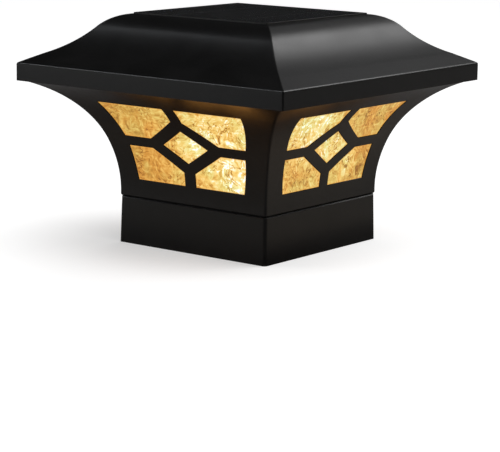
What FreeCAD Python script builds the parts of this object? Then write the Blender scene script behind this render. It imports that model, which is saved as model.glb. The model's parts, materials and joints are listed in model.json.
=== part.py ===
"""Deck post cap light: a square solar lantern that slips over the top of a deck post.

Millimetres, +Z up. The origin is at the centre of the collar's open bottom edge.
Each piece of the lamp is one solid, or one group of like solids, in its own file.
"""
import FreeCAD, Part
import functools
import math
import os

Vec = FreeCAD.Vector
UP = Vec(0, 0, 1)
QUARTER_TURNS = (0, 90, 180, 270)

# The post, and the collar that fits over it
POST_SIDE = 89.0
POST_CLEARANCE = 1.75
COLLAR_WALL = 2.75
COLLAR_DRAFT = 0.53
COLLAR_HEIGHT = 25.0
COLLAR_CORNER = 1.8
SEAM_CHAMFER = 0.8
STOP_PLATE = 2.4
STOP_RECESS = 3.0
STOP_RIB = 1.8
STOP_RIB_HEIGHT = 2.0
POST_SCREW_INSET = 16.25
POST_SCREW_HOLE_R = 2.4
POST_SCREW_SINK_R = 4.6
POST_SCREW_SINK = 1.6

# The lantern: a wall that flares outwards in two arcs, like a cove
LANTERN_OVERHANG = 0.26
LANTERN_WALL = 1.7
LANTERN_CORNER = 1.2
SILL_STRAIGHT = 2.92
COVE_LOWER_R = 80.56
COVE_LOWER_ANGLE = 20.0
COVE_UPPER_R = 51.07
FLANGE_WALL = 2.2
FLANGE_HEIGHT = 5.8
FLANGE_CLEARANCE = 0.3
SPIGOT_WALL = 1.6
SPIGOT_DEPTH = 2.3
SPIGOT_CLEARANCE = 0.15
LEDGE = 1.4
BASE_SCREW_INSET = 6.75
BASE_SCREW_R = 1.5
BASE_SCREW_HEAD_R = 3.2
BASE_SCREW_SINK = 1.8
BASE_SCREW_LENGTH = 11.0
BASE_BOSS_R = 3.6
BASE_BOSS_HEIGHT = 11.0
SCREW_CLEARANCE = 0.1
PILOT_SPARE = 0.5

# The lead-light tracery of each side: five openings round a lozenge
LIGHT_SILL = 10.2
LIGHT_HEAD_DROP = 9.2
LIGHT_HALF_AT_SILL = 35.1
LIGHT_HALF_AT_CENTRE = 38.9
LIGHT_HALF_AT_HEAD = 47.2
LOZENGE_HALF_WIDTH = 14.6
LOZENGE_HALF_HEIGHT = 8.7
DIAGONAL_BAR = 6.3
UPRIGHT_BAR = 7.4
CROSS_BAR = 5.3

# The amber panes behind the openings, and the channels that they slide into
PANE = 1.6
PANE_LAP = 3.7
PANE_CLEARANCE = 0.2
PANE_EDGE_CLEARANCE = 0.3
CHANNEL_WALL = 1.1
CHANNEL_LIP = 1.8
PANE_HEAD_LAP = 2.5
RETAINER = 2.0
RETAINER_HEIGHT = 4.6

# The floor of the lantern, white to throw the light outwards
FLOOR_SHEET = 1.2
FLOOR_EDGE_CLEARANCE = 0.3
FLOOR_BOSS_CLEARANCE = 0.4
DRIVER_HOLE_R = 5.5

# The roof: a skirt round the edge, a lip, a hollow slope and a round shoulder
RIM_HALF = 87.2
ROOF_WALL = 2.2
FASCIA_HEIGHT = 9.8
EDGE_ROUND = 0.9
SKIRT_GAP = 0.1
ROOF_RISE = 35.2
DECK_HALF = 42.5
SHOULDER_R = 20.2
SHOULDER_ANGLE = 48.5
VALLEY_R = 54.2
VALLEY_END_ANGLE = 23.0
FASCIA_CORNER = 0.8
PANEL_BORDER = 1.3
PANEL_BORDER_HEIGHT = 0.6
DECK_RECESS = 2.2
DECK_WALL = 2.0
SEAT_RIB = 2.0
SEAT_RIB_REACH = 4.2
SEAT_RIB_SPACING = 42.0

# The solar panel in the roof's deck
PANEL_HALF = 42.3
PANEL_CLEARANCE = 0.3
GASKET = 0.6
GASKET_WIDTH = 4.0
BACKSHEET = 1.0
CELL = 0.25
CELL_GAP = 1.0
CELL_MARGIN = 1.4
CELL_CLEARANCE = 0.05
BUSBAR_WIDTH = 1.1
BUSBAR = 0.1
COVER_SHEET = 0.6
LEAD_HOLE_R = 3.5

# The tub under the deck, with the battery, the board and the switch
TUB_HALF_WIDTH = 28.0
TUB_WALL = 1.8
TUB_FLOOR = 2.0
TUB_HEIGHT = 22.0
TUB_DROP = 29.4
TUB_EAR_R = 4.2
TUB_EAR = 2.0
TUB_EAR_REACH = 3.3
TUB_EAR_SETBACK = 8.0
TUB_BOSS_R = 3.5
TUB_SCREW_R = 1.4
TUB_SCREW_LENGTH = 8.0
SCREW_HEAD_R = 2.7
SCREW_HEAD = 1.8
PARTITION = 1.2
PARTITION_HEIGHT = 8.0

# The battery, one rechargeable AA cell, and what holds it
BATTERY_R = 7.1
BATTERY_LENGTH = 50.0
BATTERY_NUB_R = 2.75
BATTERY_NUB = 1.2
BATTERY_SIDE_GAP = 1.1
BATTERY_RISE = 9.4
CONTACT = 0.5
CONTACT_WIDTH = 11.0
CONTACT_DIMPLE_R = 2.2
CONTACT_REACH = 2.6
CONTACT_SPARE = 1.4
TONGUE_WIDTH = 5.0
CRADLE_RIB = 1.6
CRADLE_X = 15.0
CRADLE_CLEARANCE = 0.3

# The battery door, hinged on a wire pin along its outer edge
DOOR = 1.6
DOOR_GAP = 0.2
DOOR_SPARE = 1.0
DOOR_END_LAP = 1.5
DOOR_SIDE_LAP = 1.1
DOOR_HINGE_SETBACK = 1.9
DOOR_OPENING_SETBACK = 0.3
DOOR_OPENING_RIM = 1.6
HINGE_KNUCKLE_R = 1.6
HINGE_KNUCKLE_LENGTH = 10.0
HINGE_KNUCKLE_X = 17.0
HINGE_LUG = 2.6
HINGE_SIDE_GAP = 0.3
HINGE_PIN_R = 0.8
HINGE_PIN_CLEARANCE = 0.05
HINGE_PIN_GRIP = 0.01
DOOR_TAB_HALF = 5.0
DOOR_TAB = 1.0
DOOR_TAB_RISE = 1.4
DOOR_TAB_CLEARANCE = 0.4
DOOR_LIP = 1.2
DOOR_LIP_HALF = 6.0
DOOR_LIP_THICKNESS = 0.96

# The circuit board and what is soldered to it
BOARD = 1.6
BOARD_RISE = 5.5
BOARD_END_GAP = 2.5
BOARD_SIDE_GAP = 1.2
BOARD_PARTITION_GAP = 4.4
BOARD_POST_R = 2.2
BOARD_POST_INSET = 4.0
BOARD_POST_Y = -10.0
BOARD_PIN_R = 0.9
BOARD_PIN_CLEARANCE = 0.1
BOARD_PIN_PROUD = 1.0
CHIP_LENGTH = 5.0
CHIP_WIDTH = 4.0
CHIP_HEIGHT = 1.6
CHIP_X = 10.0
CHIP_Y = -16.0
COIL_R = 3.2
COIL_HEIGHT = 4.5
COIL_INSET = 9.0
COIL_Y = -4.0
PART_LENGTH = 3.2
PART_WIDTH = 1.6
PART_HEIGHT = 1.0
PART_PITCH = 4.0
PART_Y = -21.5
PART_COUNT = 5

# The slide switch: warm light, off, white light
SWITCH_X = -14.0
SWITCH_Y = -18.0
SWITCH_LENGTH = 13.0
SWITCH_WIDTH = 6.0
SLIDER_LENGTH = 2.4
SLIDER_WIDTH = 1.8
SLIDER_STANDS_OUT = 1.8
SLIDER_TRAVEL = 2.0
SLIDER_CLEARANCE = 0.15
SLIDER_POCKET = 1.8

# The stem that carries the light-emitting diodes down into the lantern
STEM_R = 5.5
STEM_BORE_R = 3.2
STEM_LENGTH = 32.2
STEM_FLANGE_R = 7.6
STEM_FLANGE = 1.8
STEM_SPIGOT_R = 4.8
STEM_SPIGOT = 6.0
STEM_FIT = 0.1
NUT_ACROSS_FLATS = 12.0
NUT_HEIGHT = 3.0
LED_BOARD_R = 5.2
LED_BOARD = 1.4
LED_SIDE = 2.4
LED_HEIGHT = 1.0
LED_RING_R = 2.9
LED_COUNT = 3
GLOBE_R = 12.0
GLOBE_WALL = 1.2
GLOBE_NECK_WALL = 1.3
GLOBE_NECK_HEIGHT = 6.0
GLOBE_DROP = 10.0

# The ceiling sheet over the lantern, white to throw the light down
CEILING_EDGE_GAP = 4.5
CEILING = 1.4
CEILING_RISE = 1.5
CEILING_TUB_CLEARANCE = 0.5
CEILING_SCREW_XY = 57.0
CEILING_SCREW_R = 1.5
CEILING_SCREW_LENGTH = 9.0
CEILING_BOSS_R = 3.8

# Wires
WIRE_R = 0.6
WIRE_HALF_GAP = 1.5
LEAD_X = -8.0
LEAD_Y = -8.0

# How far a cutting tool runs past a face, and how far a joined lump runs into its wall
OVERCUT = 1.0
EMBED = 0.5
MARGIN = 20.0

# Levels and widths that follow from the sizes above
collar_inner = POST_SIDE / 2 + POST_CLEARANCE
collar_outer = collar_inner + COLLAR_WALL
collar_top_outer = collar_outer - COLLAR_DRAFT
post_screw_spacing = 2 * (collar_inner - POST_SCREW_INSET)
base_screw_spacing = 2 * (collar_inner - BASE_SCREW_INSET)
collar_top = COLLAR_HEIGHT
stop_top = collar_top - STOP_RECESS
stop_under = stop_top - STOP_PLATE
lantern_half = collar_top_outer + LANTERN_OVERHANG
wall_inner = lantern_half - LANTERN_WALL
cove_start = collar_top + SILL_STRAIGHT
cove_turn = math.radians(COVE_LOWER_ANGLE)
cove_joint_half = lantern_half + COVE_LOWER_R * (1 - math.cos(cove_turn))
upper_centre_x = cove_joint_half + COVE_UPPER_R * math.cos(cove_turn)
upper_centre_z = cove_start + (COVE_LOWER_R - COVE_UPPER_R) * math.sin(cove_turn)
skirt_inner = RIM_HALF - ROOF_WALL
flange_half = skirt_inner - FLANGE_CLEARANCE
eave = upper_centre_z + math.sqrt(COVE_UPPER_R ** 2 - (upper_centre_x - flange_half) ** 2)
flange_top = eave + FLANGE_HEIGHT
flange_inner = flange_half - FLANGE_WALL
spigot_outer = collar_inner - SPIGOT_CLEARANCE
spigot_inner = spigot_outer - SPIGOT_WALL
ledge_top = collar_top + LEDGE
light_sill = collar_top + LIGHT_SILL
light_head = eave - LIGHT_HEAD_DROP
light_centre = (light_sill + light_head) / 2
pane_bottom = light_sill - PANE_LAP
pane_top = light_head + PANE_HEAD_LAP
pane_front = LANTERN_WALL + PANE_CLEARANCE
pane_back = pane_front + PANE
channel_back = pane_back + PANE_CLEARANCE + CHANNEL_WALL
base_boss_top = stop_top + BASE_BOSS_HEIGHT
skirt_bottom = eave + SKIRT_GAP
fascia_top = skirt_bottom + FASCIA_HEIGHT
deck_top = skirt_bottom + ROOF_RISE
recess_half = PANEL_HALF + PANEL_CLEARANCE
border_outer = recess_half + PANEL_BORDER
border_top = deck_top + PANEL_BORDER_HEIGHT
recess_floor = deck_top - DECK_RECESS
deck_under = recess_floor - DECK_WALL
gasket_top = recess_floor + GASKET
backsheet_top = gasket_top + BACKSHEET
cell_top = backsheet_top + CELL
busbar_top = cell_top + BUSBAR
cover_under = busbar_top + CELL_CLEARANCE
tub_floor_under = deck_under - TUB_DROP
tub_floor_top = tub_floor_under + TUB_FLOOR
tub_top = tub_floor_under + TUB_HEIGHT
tub_inner_length = BATTERY_LENGTH / 2 + CONTACT_REACH + CONTACT + CONTACT_SPARE
tub_inner_width = TUB_HALF_WIDTH - TUB_WALL
tub_half_length = tub_inner_length + TUB_WALL
tub_ear_x = tub_half_length + TUB_EAR_REACH
tub_ear_y = TUB_HALF_WIDTH - TUB_EAR_SETBACK
battery_y = tub_inner_width - BATTERY_R - BATTERY_SIDE_GAP
battery_z = tub_floor_top + BATTERY_RISE
partition_y = battery_y - BATTERY_R - CRADLE_CLEARANCE - PARTITION
board_under = tub_floor_top + BOARD_RISE
board_top = board_under + BOARD
door_opening_half_length = BATTERY_LENGTH / 2 + DOOR_SPARE
door_half_length = door_opening_half_length + DOOR_END_LAP
door_opening_y = partition_y + PARTITION + DOOR_OPENING_SETBACK
door_opening_outer_y = tub_inner_width - DOOR_OPENING_RIM
door_free_edge_y = door_opening_y - DOOR_SIDE_LAP
hinge_y = tub_inner_width
door_hinge_edge_y = hinge_y - DOOR_HINGE_SETBACK
board_half_length = tub_inner_length - BOARD_END_GAP
board_post_x = board_half_length - BOARD_POST_INSET
coil_x = board_half_length - COIL_INSET
board_low_y = BOARD_SIDE_GAP - tub_inner_width
board_high_y = partition_y - BOARD_PARTITION_GAP
door_top = tub_floor_under - DOOR_GAP
door_under = door_top - DOOR
stem_top = tub_floor_under
stem_bottom = stem_top - STEM_LENGTH
led_board_under = stem_bottom - LED_BOARD
globe_centre = stem_bottom - GLOBE_DROP
ceiling_under = tub_floor_under + CEILING_RISE
ceiling_top = ceiling_under + CEILING
ceiling_half = flange_inner - CEILING_EDGE_GAP
REACH = RIM_HALF + MARGIN


def arc(centre_x, centre_z, radius, start, end):
    """Arc edge in the XZ plane between two angles in degrees."""
    def at(angle):
        turn = math.radians(angle)
        return Vec(centre_x + radius * math.cos(turn), 0, centre_z + radius * math.sin(turn))
    return Part.Arc(at(start), at((start + end) / 2), at(end)).toShape()


def point(x, z):
    """Point of a profile in the XZ plane."""
    return Vec(x, 0, z)


def profile(*pieces):
    """Closed face through points and arcs in turn, with straight lines between them."""
    edges = []
    first = None
    last = None
    for piece in pieces:
        is_arc = isinstance(piece, Part.Edge)
        start = piece.valueAt(piece.FirstParameter) if is_arc else piece
        end = piece.valueAt(piece.LastParameter) if is_arc else piece
        if first is None:
            first = start
        elif last.distanceToPoint(start) > 1e-6:
            edges.append(Part.makeLine(last, start))
        if is_arc:
            edges.append(piece)
        last = end
    edges.append(Part.makeLine(last, first))
    return Part.Face(Part.Wire(edges))


def flat_polygon(points):
    """Face in the YZ plane through (along the side, height) points."""
    corners = [Vec(0, along, height) for along, height in points]
    return Part.Face(Part.makePolygon(corners + corners[:1]))


def box(x0, x1, y0, y1, z0, z1):
    """Box between two corners."""
    return Part.makeBox(x1 - x0, y1 - y0, z1 - z0, Vec(x0, y0, z0))


def plan_box(x, y, length, width, z0, z1):
    """Box centred on a point in plan."""
    return box(x - length / 2, x + length / 2, y - width / 2, y + width / 2, z0, z1)


def square_box(half, z0, z1):
    """Square box centred on the lamp's axis."""
    return box(-half, half, -half, half, z0, z1)


def square_ring(outer, inner, z0, z1):
    """Square ring centred on the lamp's axis."""
    return square_box(outer, z0, z1).cut(square_box(inner, z0 - OVERCUT, z1 + OVERCUT))


def cylinder(radius, x, y, z0, z1):
    """Upright cylinder."""
    return Part.makeCylinder(radius, z1 - z0, Vec(x, y, z0), UP)


def fuse_all(shapes):
    """One solid from several, with the seams between flush faces taken out."""
    return shapes[0].multiFuse(shapes[1:]).removeSplitter()


def cut_all(shape, tools):
    """Cut every tool from the shape."""
    for tool in tools:
        shape = shape.cut(tool)
    return shape


def turned(shape, degrees):
    """Copy of the shape turned about the lamp's axis."""
    return shape.rotated(Vec(0, 0, 0), UP, degrees)


def at_corners(spacing):
    """The four corners of a square with the given side, centred on the axis."""
    half = spacing / 2
    return [(sx * half, sy * half) for sx in (-1, 1) for sy in (-1, 1)]


def tub_ears():
    """Centre of each of the tub's four ears."""
    return [(x, y) for x in (-tub_ear_x, tub_ear_x) for y in (-tub_ear_y, tub_ear_y)]


def mitre_wedge():
    """Upright wedge round the +X axis, between the mitre planes of its two corners."""
    corners = [Vec(0, 0, -REACH), Vec(REACH, REACH, -REACH), Vec(REACH, -REACH, -REACH)]
    return Part.Face(Part.makePolygon(corners + corners[:1])).extrude(Vec(0, 0, 3 * REACH))


def mitre_side(face):
    """The +X side of a square form: the profile run along Y and mitred at both ends."""
    run = face.extrude(Vec(0, 2 * REACH, 0)).translated(Vec(0, -REACH, 0))
    return run.common(mitre_wedge())


def four_sides(side):
    """A square form from its +X side."""
    return fuse_all([turned(side, degrees) for degrees in QUARTER_TURNS])


def mitred(face):
    """Square form whose four sides have the same profile."""
    return four_sides(mitre_side(face))


def round_hips(shape, radius, low, high, half_at):
    """Round the corner edges between two heights where the outside has the given half width."""
    edges = []
    for edge in shape.Edges:
        middle = edge.valueAt((edge.FirstParameter + edge.LastParameter) / 2)
        on_hip = abs(abs(middle.x) - abs(middle.y)) < 1e-3
        ends = [vertex.Z for vertex in edge.Vertexes]
        within = low - 1e-3 <= min(ends) and max(ends) <= high + 1e-3
        if on_hip and within and abs(abs(middle.x) - half_at(middle.z)) < 0.1:
            edges.append(edge)
    return shape.makeFillet(radius, edges)


# ---------------------------------------------------------------- base collar

def base_collar():
    """Drafted sleeve with a plate inside it that stops on the post's top."""
    wall = profile(
        point(collar_outer, 0),
        point(collar_top_outer, collar_top - SEAM_CHAMFER),
        point(collar_top_outer - SEAM_CHAMFER, collar_top),
        point(collar_inner, collar_top),
        point(collar_inner, 0),
    )
    sleeve = mitred(wall)
    draft = COLLAR_DRAFT / (collar_top - SEAM_CHAMFER)
    sleeve = round_hips(sleeve, COLLAR_CORNER, 0, collar_top - SEAM_CHAMFER,
                        lambda z: collar_outer - draft * z)
    plate = square_box(collar_inner + COLLAR_WALL / 2, stop_under, stop_top)
    rib_reach = spigot_inner - SPIGOT_CLEARANCE
    rib = plan_box(0, 0, 2 * rib_reach, STOP_RIB, stop_top, stop_top + STOP_RIB_HEIGHT)
    body = fuse_all([sleeve, plate, rib, turned(rib, 90)])
    holes = []
    for x, y in at_corners(post_screw_spacing):
        holes.append(cylinder(POST_SCREW_HOLE_R, x, y, stop_under - OVERCUT, stop_top + OVERCUT))
        holes.append(Part.makeCone(POST_SCREW_HOLE_R, POST_SCREW_SINK_R, POST_SCREW_SINK,
                                   Vec(x, y, stop_top - POST_SCREW_SINK)))
    for x, y in at_corners(base_screw_spacing):
        holes.append(cylinder(BASE_SCREW_R + SCREW_CLEARANCE, x, y, stop_under - OVERCUT, stop_top + OVERCUT))
        holes.append(Part.makeCone(BASE_SCREW_HEAD_R + SCREW_CLEARANCE, BASE_SCREW_R + SCREW_CLEARANCE,
                                   BASE_SCREW_SINK, Vec(x, y, stop_under)))
    return cut_all(body, holes)


def base_screws():
    """Countersunk screws that hold the lantern down on the collar's plate."""
    screws = []
    for x, y in at_corners(base_screw_spacing):
        head = Part.makeCone(BASE_SCREW_HEAD_R, BASE_SCREW_R, BASE_SCREW_SINK, Vec(x, y, stop_under))
        shank = cylinder(BASE_SCREW_R, x, y, stop_under, stop_under + BASE_SCREW_LENGTH)
        screws.append(head.fuse(shank).removeSplitter())
    return Part.makeCompound(screws)


# ---------------------------------------------------------------- lantern

def cove_arcs(depth, z_low, z_high):
    """Arcs of the cove from one height up to another, set in from the outside by a depth."""
    lower_r = COVE_LOWER_R + depth
    upper_r = COVE_UPPER_R + depth
    joint = 180 - COVE_LOWER_ANGLE
    end = 180 - math.degrees(math.asin((z_high - upper_centre_z) / upper_r))
    if z_low > upper_centre_z + upper_r * math.sin(cove_turn):
        start = 180 - math.degrees(math.asin((z_low - upper_centre_z) / upper_r))
        return [arc(upper_centre_x, upper_centre_z, upper_r, start, end)]
    start = 180 - math.degrees(math.asin(max(0.0, z_low - cove_start) / lower_r))
    return [arc(lantern_half + COVE_LOWER_R, cove_start, lower_r, start, joint),
            arc(upper_centre_x, upper_centre_z, upper_r, joint, end)]


def cove_half(depth, z):
    """Half width of the flared wall at a height, set in by a depth."""
    if z <= cove_start:
        return lantern_half - depth
    upper_r = COVE_UPPER_R + depth
    if z >= upper_centre_z + upper_r * math.sin(cove_turn):
        return upper_centre_x - math.sqrt(upper_r ** 2 - (z - upper_centre_z) ** 2)
    lower_r = COVE_LOWER_R + depth
    return lantern_half + COVE_LOWER_R - math.sqrt(lower_r ** 2 - (z - cove_start) ** 2)


def cove_height(depth, half):
    """Height at which the upper arc, set in by a depth, reaches a half width."""
    upper_r = COVE_UPPER_R + depth
    return upper_centre_z + math.sqrt(upper_r ** 2 - (upper_centre_x - half) ** 2)


def cove_layer(depth_out, depth_in, z_low, z_high):
    """Profile of a layer of the flared wall between two depths and two heights."""
    outer = cove_arcs(depth_out, z_low, z_high)
    inner = run_back(cove_arcs(depth_in, z_low, z_high))
    return profile(point(cove_half(depth_out, z_low), z_low), *outer, *inner,
                   point(cove_half(depth_in, z_low), z_low))


def run_back(arcs):
    """The same arcs, run the other way."""
    back = []
    for edge in reversed(arcs):
        first = edge.valueAt(edge.FirstParameter)
        middle = edge.valueAt((edge.FirstParameter + edge.LastParameter) / 2)
        last = edge.valueAt(edge.LastParameter)
        back.append(Part.Arc(last, middle, first).toShape())
    return back


def side_plate(layer, points):
    """Part of a layer of the +X side that lies inside an outline seen square on."""
    run = layer.extrude(Vec(0, 2 * REACH, 0)).translated(Vec(0, -REACH, 0))
    return run.common(flat_polygon(points).extrude(Vec(REACH, 0, 0)))


def light_openings():
    """Outlines of the five openings of a side: four round the edge and the lozenge."""
    slope = LOZENGE_HALF_HEIGHT / LOZENGE_HALF_WIDTH
    outer_half_width = LOZENGE_HALF_WIDTH + DIAGONAL_BAR / math.sin(math.atan(slope))
    bar = UPRIGHT_BAR / 2
    cross = CROSS_BAR / 2
    outlines = [[
        (0, light_centre + LOZENGE_HALF_HEIGHT), (LOZENGE_HALF_WIDTH, light_centre),
        (0, light_centre - LOZENGE_HALF_HEIGHT), (-LOZENGE_HALF_WIDTH, light_centre),
    ]]
    for end, end_half in ((light_head, LIGHT_HALF_AT_HEAD), (light_sill, LIGHT_HALF_AT_SILL)):
        up = 1 if end > light_centre else -1
        share = cross / abs(end - light_centre)
        side_half = LIGHT_HALF_AT_CENTRE + (end_half - LIGHT_HALF_AT_CENTRE) * share
        for side in (-1, 1):
            outlines.append([
                (side * bar, end),
                (side * end_half, end),
                (side * side_half, light_centre + up * cross),
                (side * (outer_half_width - cross / slope), light_centre + up * cross),
                (side * bar, light_centre + up * (outer_half_width - bar) * slope),
            ])
    return outlines


def pane_outline(grow, z_low, z_high):
    """Outline of a pane seen square on, grown sideways, between two heights."""
    low_half = LIGHT_HALF_AT_SILL + PANE_LAP
    high_half = LIGHT_HALF_AT_HEAD + PANE_LAP
    rate = (high_half - low_half) / (pane_top - pane_bottom)
    at_low = low_half + rate * (z_low - pane_bottom) + grow
    at_high = low_half + rate * (z_high - pane_bottom) + grow
    return [(-at_low, z_low), (at_low, z_low), (at_high, z_high), (-at_high, z_high)]


def pane_channel():
    """U-shaped channel on the inside of the +X side, open at the top for the pane."""
    low = pane_bottom - PANE_EDGE_CLEARANCE - CHANNEL_WALL
    block = side_plate(cove_layer(LANTERN_WALL / 2, channel_back, low, pane_top),
                       pane_outline(PANE_EDGE_CLEARANCE + CHANNEL_WALL, low, pane_top))
    slot_low = pane_bottom - PANE_EDGE_CLEARANCE
    slot = side_plate(cove_layer(LANTERN_WALL, pane_back + PANE_CLEARANCE, slot_low, pane_top + OVERCUT),
                      pane_outline(PANE_EDGE_CLEARANCE, slot_low, pane_top + OVERCUT))
    mouth_low = pane_bottom + CHANNEL_LIP
    mouth = side_plate(cove_layer(LANTERN_WALL, channel_back + OVERCUT, mouth_low, pane_top + OVERCUT),
                       pane_outline(-CHANNEL_LIP, mouth_low, pane_top + OVERCUT))
    return block.cut(slot).cut(mouth)


def lantern_side():
    """The +X side of the lantern's flared wall, with its openings and its channel."""
    outer = cove_arcs(0, cove_start, eave)
    inner = cove_arcs(LANTERN_WALL, cove_start, cove_height(LANTERN_WALL, flange_inner))
    wall = profile(
        point(wall_inner, collar_top),
        point(lantern_half - SEAM_CHAMFER, collar_top),
        point(lantern_half, collar_top + SEAM_CHAMFER),
        *outer,
        point(flange_half, flange_top),
        point(flange_inner, flange_top),
        *run_back(inner),
    )
    side = mitre_side(wall)
    for outline in light_openings():
        side = side.cut(flat_polygon(outline).extrude(Vec(REACH, 0, 0)))
    windowed_channel = pane_channel()
    for outline in light_openings():
        windowed_channel = windowed_channel.cut(flat_polygon(outline).extrude(Vec(REACH, 0, 0)))
    return side.fuse(windowed_channel).removeSplitter()


@functools.lru_cache
def lantern_walls():
    """The four sides as one form, with its hips rounded."""
    walls = four_sides(lantern_side())
    return round_hips(walls, LANTERN_CORNER, collar_top + SEAM_CHAMFER, eave, lambda z: cove_half(0, z))


def lantern_wall(degrees):
    """One flared side with lead-light openings, mitred and bonded to its neighbours."""
    return turned(lantern_walls().common(mitre_wedge()), degrees)


def lantern_base():
    """Square ring inside the foot of the four sides, with a spigot and screw bosses."""
    ledge = square_ring(wall_inner, spigot_inner, collar_top, ledge_top)
    spigot = square_ring(spigot_outer, spigot_inner, collar_top - SPIGOT_DEPTH, ledge_top)
    pieces = [ledge, spigot]
    for x, y in at_corners(base_screw_spacing):
        pieces.append(cylinder(BASE_BOSS_R, x, y, stop_top, base_boss_top))
    low = base_screw_spacing / 2 - BASE_BOSS_R
    high = spigot_inner + EMBED
    web = box(low, high, low, high, collar_top, ledge_top)
    pieces += [turned(web, degrees) for degrees in QUARTER_TURNS]
    body = fuse_all(pieces)
    screw_end = stop_under + BASE_SCREW_LENGTH
    holes = [cylinder(BASE_SCREW_R + SCREW_CLEARANCE / 2, x, y, stop_top - OVERCUT, screw_end + PILOT_SPARE)
             for x, y in at_corners(base_screw_spacing)]
    return cut_all(body, holes)


def pane(degrees):
    """Amber pane, curved with the wall and held in its channel."""
    sheet = side_plate(cove_layer(pane_front, pane_back, pane_bottom, pane_top),
                       pane_outline(0, pane_bottom, pane_top))
    return turned(sheet, degrees)


def pane_retainer():
    """Flared ring that drops in over the panes and keeps them down."""
    low = pane_top + PANE_CLEARANCE
    return mitred(cove_layer(pane_front, pane_front + RETAINER, low, low + RETAINER_HEIGHT))


def floor_reflector():
    """White sheet on the lantern's ledge, with holes for the bosses and for a driver."""
    half = wall_inner - FLOOR_EDGE_CLEARANCE
    sheet = square_box(half, ledge_top, ledge_top + FLOOR_SHEET)
    low = ledge_top - OVERCUT
    high = ledge_top + FLOOR_SHEET + OVERCUT
    holes = [cylinder(BASE_BOSS_R + FLOOR_BOSS_CLEARANCE, x, y, low, high)
             for x, y in at_corners(base_screw_spacing)]
    holes += [cylinder(DRIVER_HOLE_R, x, y, low, high) for x, y in at_corners(post_screw_spacing)]
    return cut_all(sheet, holes)


# ---------------------------------------------------------------- roof

def roof_curves(depth):
    """Valley and shoulder arcs of the roof, set in from the outside by a depth."""
    turn = math.radians(SHOULDER_ANGLE)
    shoulder_z = deck_top - SHOULDER_R
    valley_x = DECK_HALF + (SHOULDER_R + VALLEY_R) * math.sin(turn)
    valley_z = shoulder_z + (SHOULDER_R + VALLEY_R) * math.cos(turn)
    valley = arc(valley_x, valley_z, VALLEY_R + depth, 270 - VALLEY_END_ANGLE, 270 - SHOULDER_ANGLE)
    return valley, DECK_HALF, shoulder_z, SHOULDER_R - depth


def roof_outer_profile():
    """Outside of the roof from its skirt to the panel's border, closed to the axis."""
    valley, shoulder_x, shoulder_z, shoulder_r = roof_curves(0)
    border_angle = math.degrees(math.acos((border_outer - shoulder_x) / shoulder_r))
    shoulder = arc(shoulder_x, shoulder_z, shoulder_r, 90 - SHOULDER_ANGLE, border_angle)
    foot = valley.valueAt(valley.FirstParameter)
    lip_angle = math.degrees(math.atan2(foot.z - fascia_top, RIM_HALF - EDGE_ROUND - foot.x))
    edge = arc(RIM_HALF - EDGE_ROUND, fascia_top - EDGE_ROUND, EDGE_ROUND, 0, 90 - lip_angle)
    return profile(
        point(0, skirt_bottom),
        point(RIM_HALF, skirt_bottom),
        edge, valley, shoulder,
        point(border_outer, border_top),
        point(0, border_top),
    )


def roof_inner_profile():
    """Inside of the roof, one wall in from the outside, up to the deck's underside."""
    valley, shoulder_x, shoulder_z, shoulder_r = roof_curves(ROOF_WALL)
    top_angle = math.degrees(math.asin(min(1.0, (deck_under - shoulder_z) / shoulder_r)))
    shoulder = arc(shoulder_x, shoulder_z, shoulder_r, 90 - SHOULDER_ANGLE, top_angle)
    return profile(
        point(0, skirt_bottom - OVERCUT),
        point(skirt_inner, skirt_bottom - OVERCUT),
        point(skirt_inner, fascia_top - ROOF_WALL),
        valley, shoulder,
        point(0, deck_under),
    )


def fascia_block():
    """Square block as wide as the roof, with the fascia's rounded upright corners."""
    block = square_box(RIM_HALF, skirt_bottom - OVERCUT, border_top + OVERCUT)
    uprights = [edge for edge in block.Edges if edge.BoundBox.ZLength > OVERCUT]
    return block.makeFillet(FASCIA_CORNER, uprights)


def roof_cover():
    """Ogee roof with a skirt, a bordered recess for the panel, ribs and screw bosses."""
    block = mitred(roof_outer_profile()).common(fascia_block())
    shell = block.cut(mitred(roof_inner_profile()))
    shell = shell.cut(square_box(recess_half, recess_floor, border_top + OVERCUT))
    inside = []
    for degrees in QUARTER_TURNS:
        for along in (-SEAT_RIB_SPACING, 0, SEAT_RIB_SPACING):
            rib = box(skirt_inner - SEAT_RIB_REACH, skirt_inner + ROOF_WALL / 2,
                      along - SEAT_RIB / 2, along + SEAT_RIB / 2, flange_top, fascia_top - ROOF_WALL / 2)
            inside.append(turned(rib, degrees))
    for x, y in at_corners(2 * CEILING_SCREW_XY):
        inside.append(cylinder(CEILING_BOSS_R, x, y, ceiling_top, deck_top))
    for x, y in tub_ears():
        inside.append(cylinder(TUB_BOSS_R, x, y, tub_top, deck_under + DECK_WALL / 2))
    body = fuse_all([shell] + [piece.common(block) for piece in inside])
    pilot_top = ceiling_under + CEILING_SCREW_LENGTH + PILOT_SPARE
    holes = [cylinder(CEILING_SCREW_R + SCREW_CLEARANCE / 2, x, y, ceiling_top - OVERCUT, pilot_top)
             for x, y in at_corners(2 * CEILING_SCREW_XY)]
    pilot_top = tub_top - TUB_EAR + TUB_SCREW_LENGTH + PILOT_SPARE
    holes += [cylinder(TUB_SCREW_R + SCREW_CLEARANCE / 2, x, y, tub_top - OVERCUT, pilot_top)
              for x, y in tub_ears()]
    holes.append(cylinder(LEAD_HOLE_R, LEAD_X, LEAD_Y, deck_under - OVERCUT, recess_floor + OVERCUT))
    return cut_all(body, holes)


# ---------------------------------------------------------------- solar panel

def panel_gasket():
    """Foam seal between the deck and the panel's edge."""
    return square_ring(PANEL_HALF, PANEL_HALF - GASKET_WIDTH, recess_floor, gasket_top)


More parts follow.
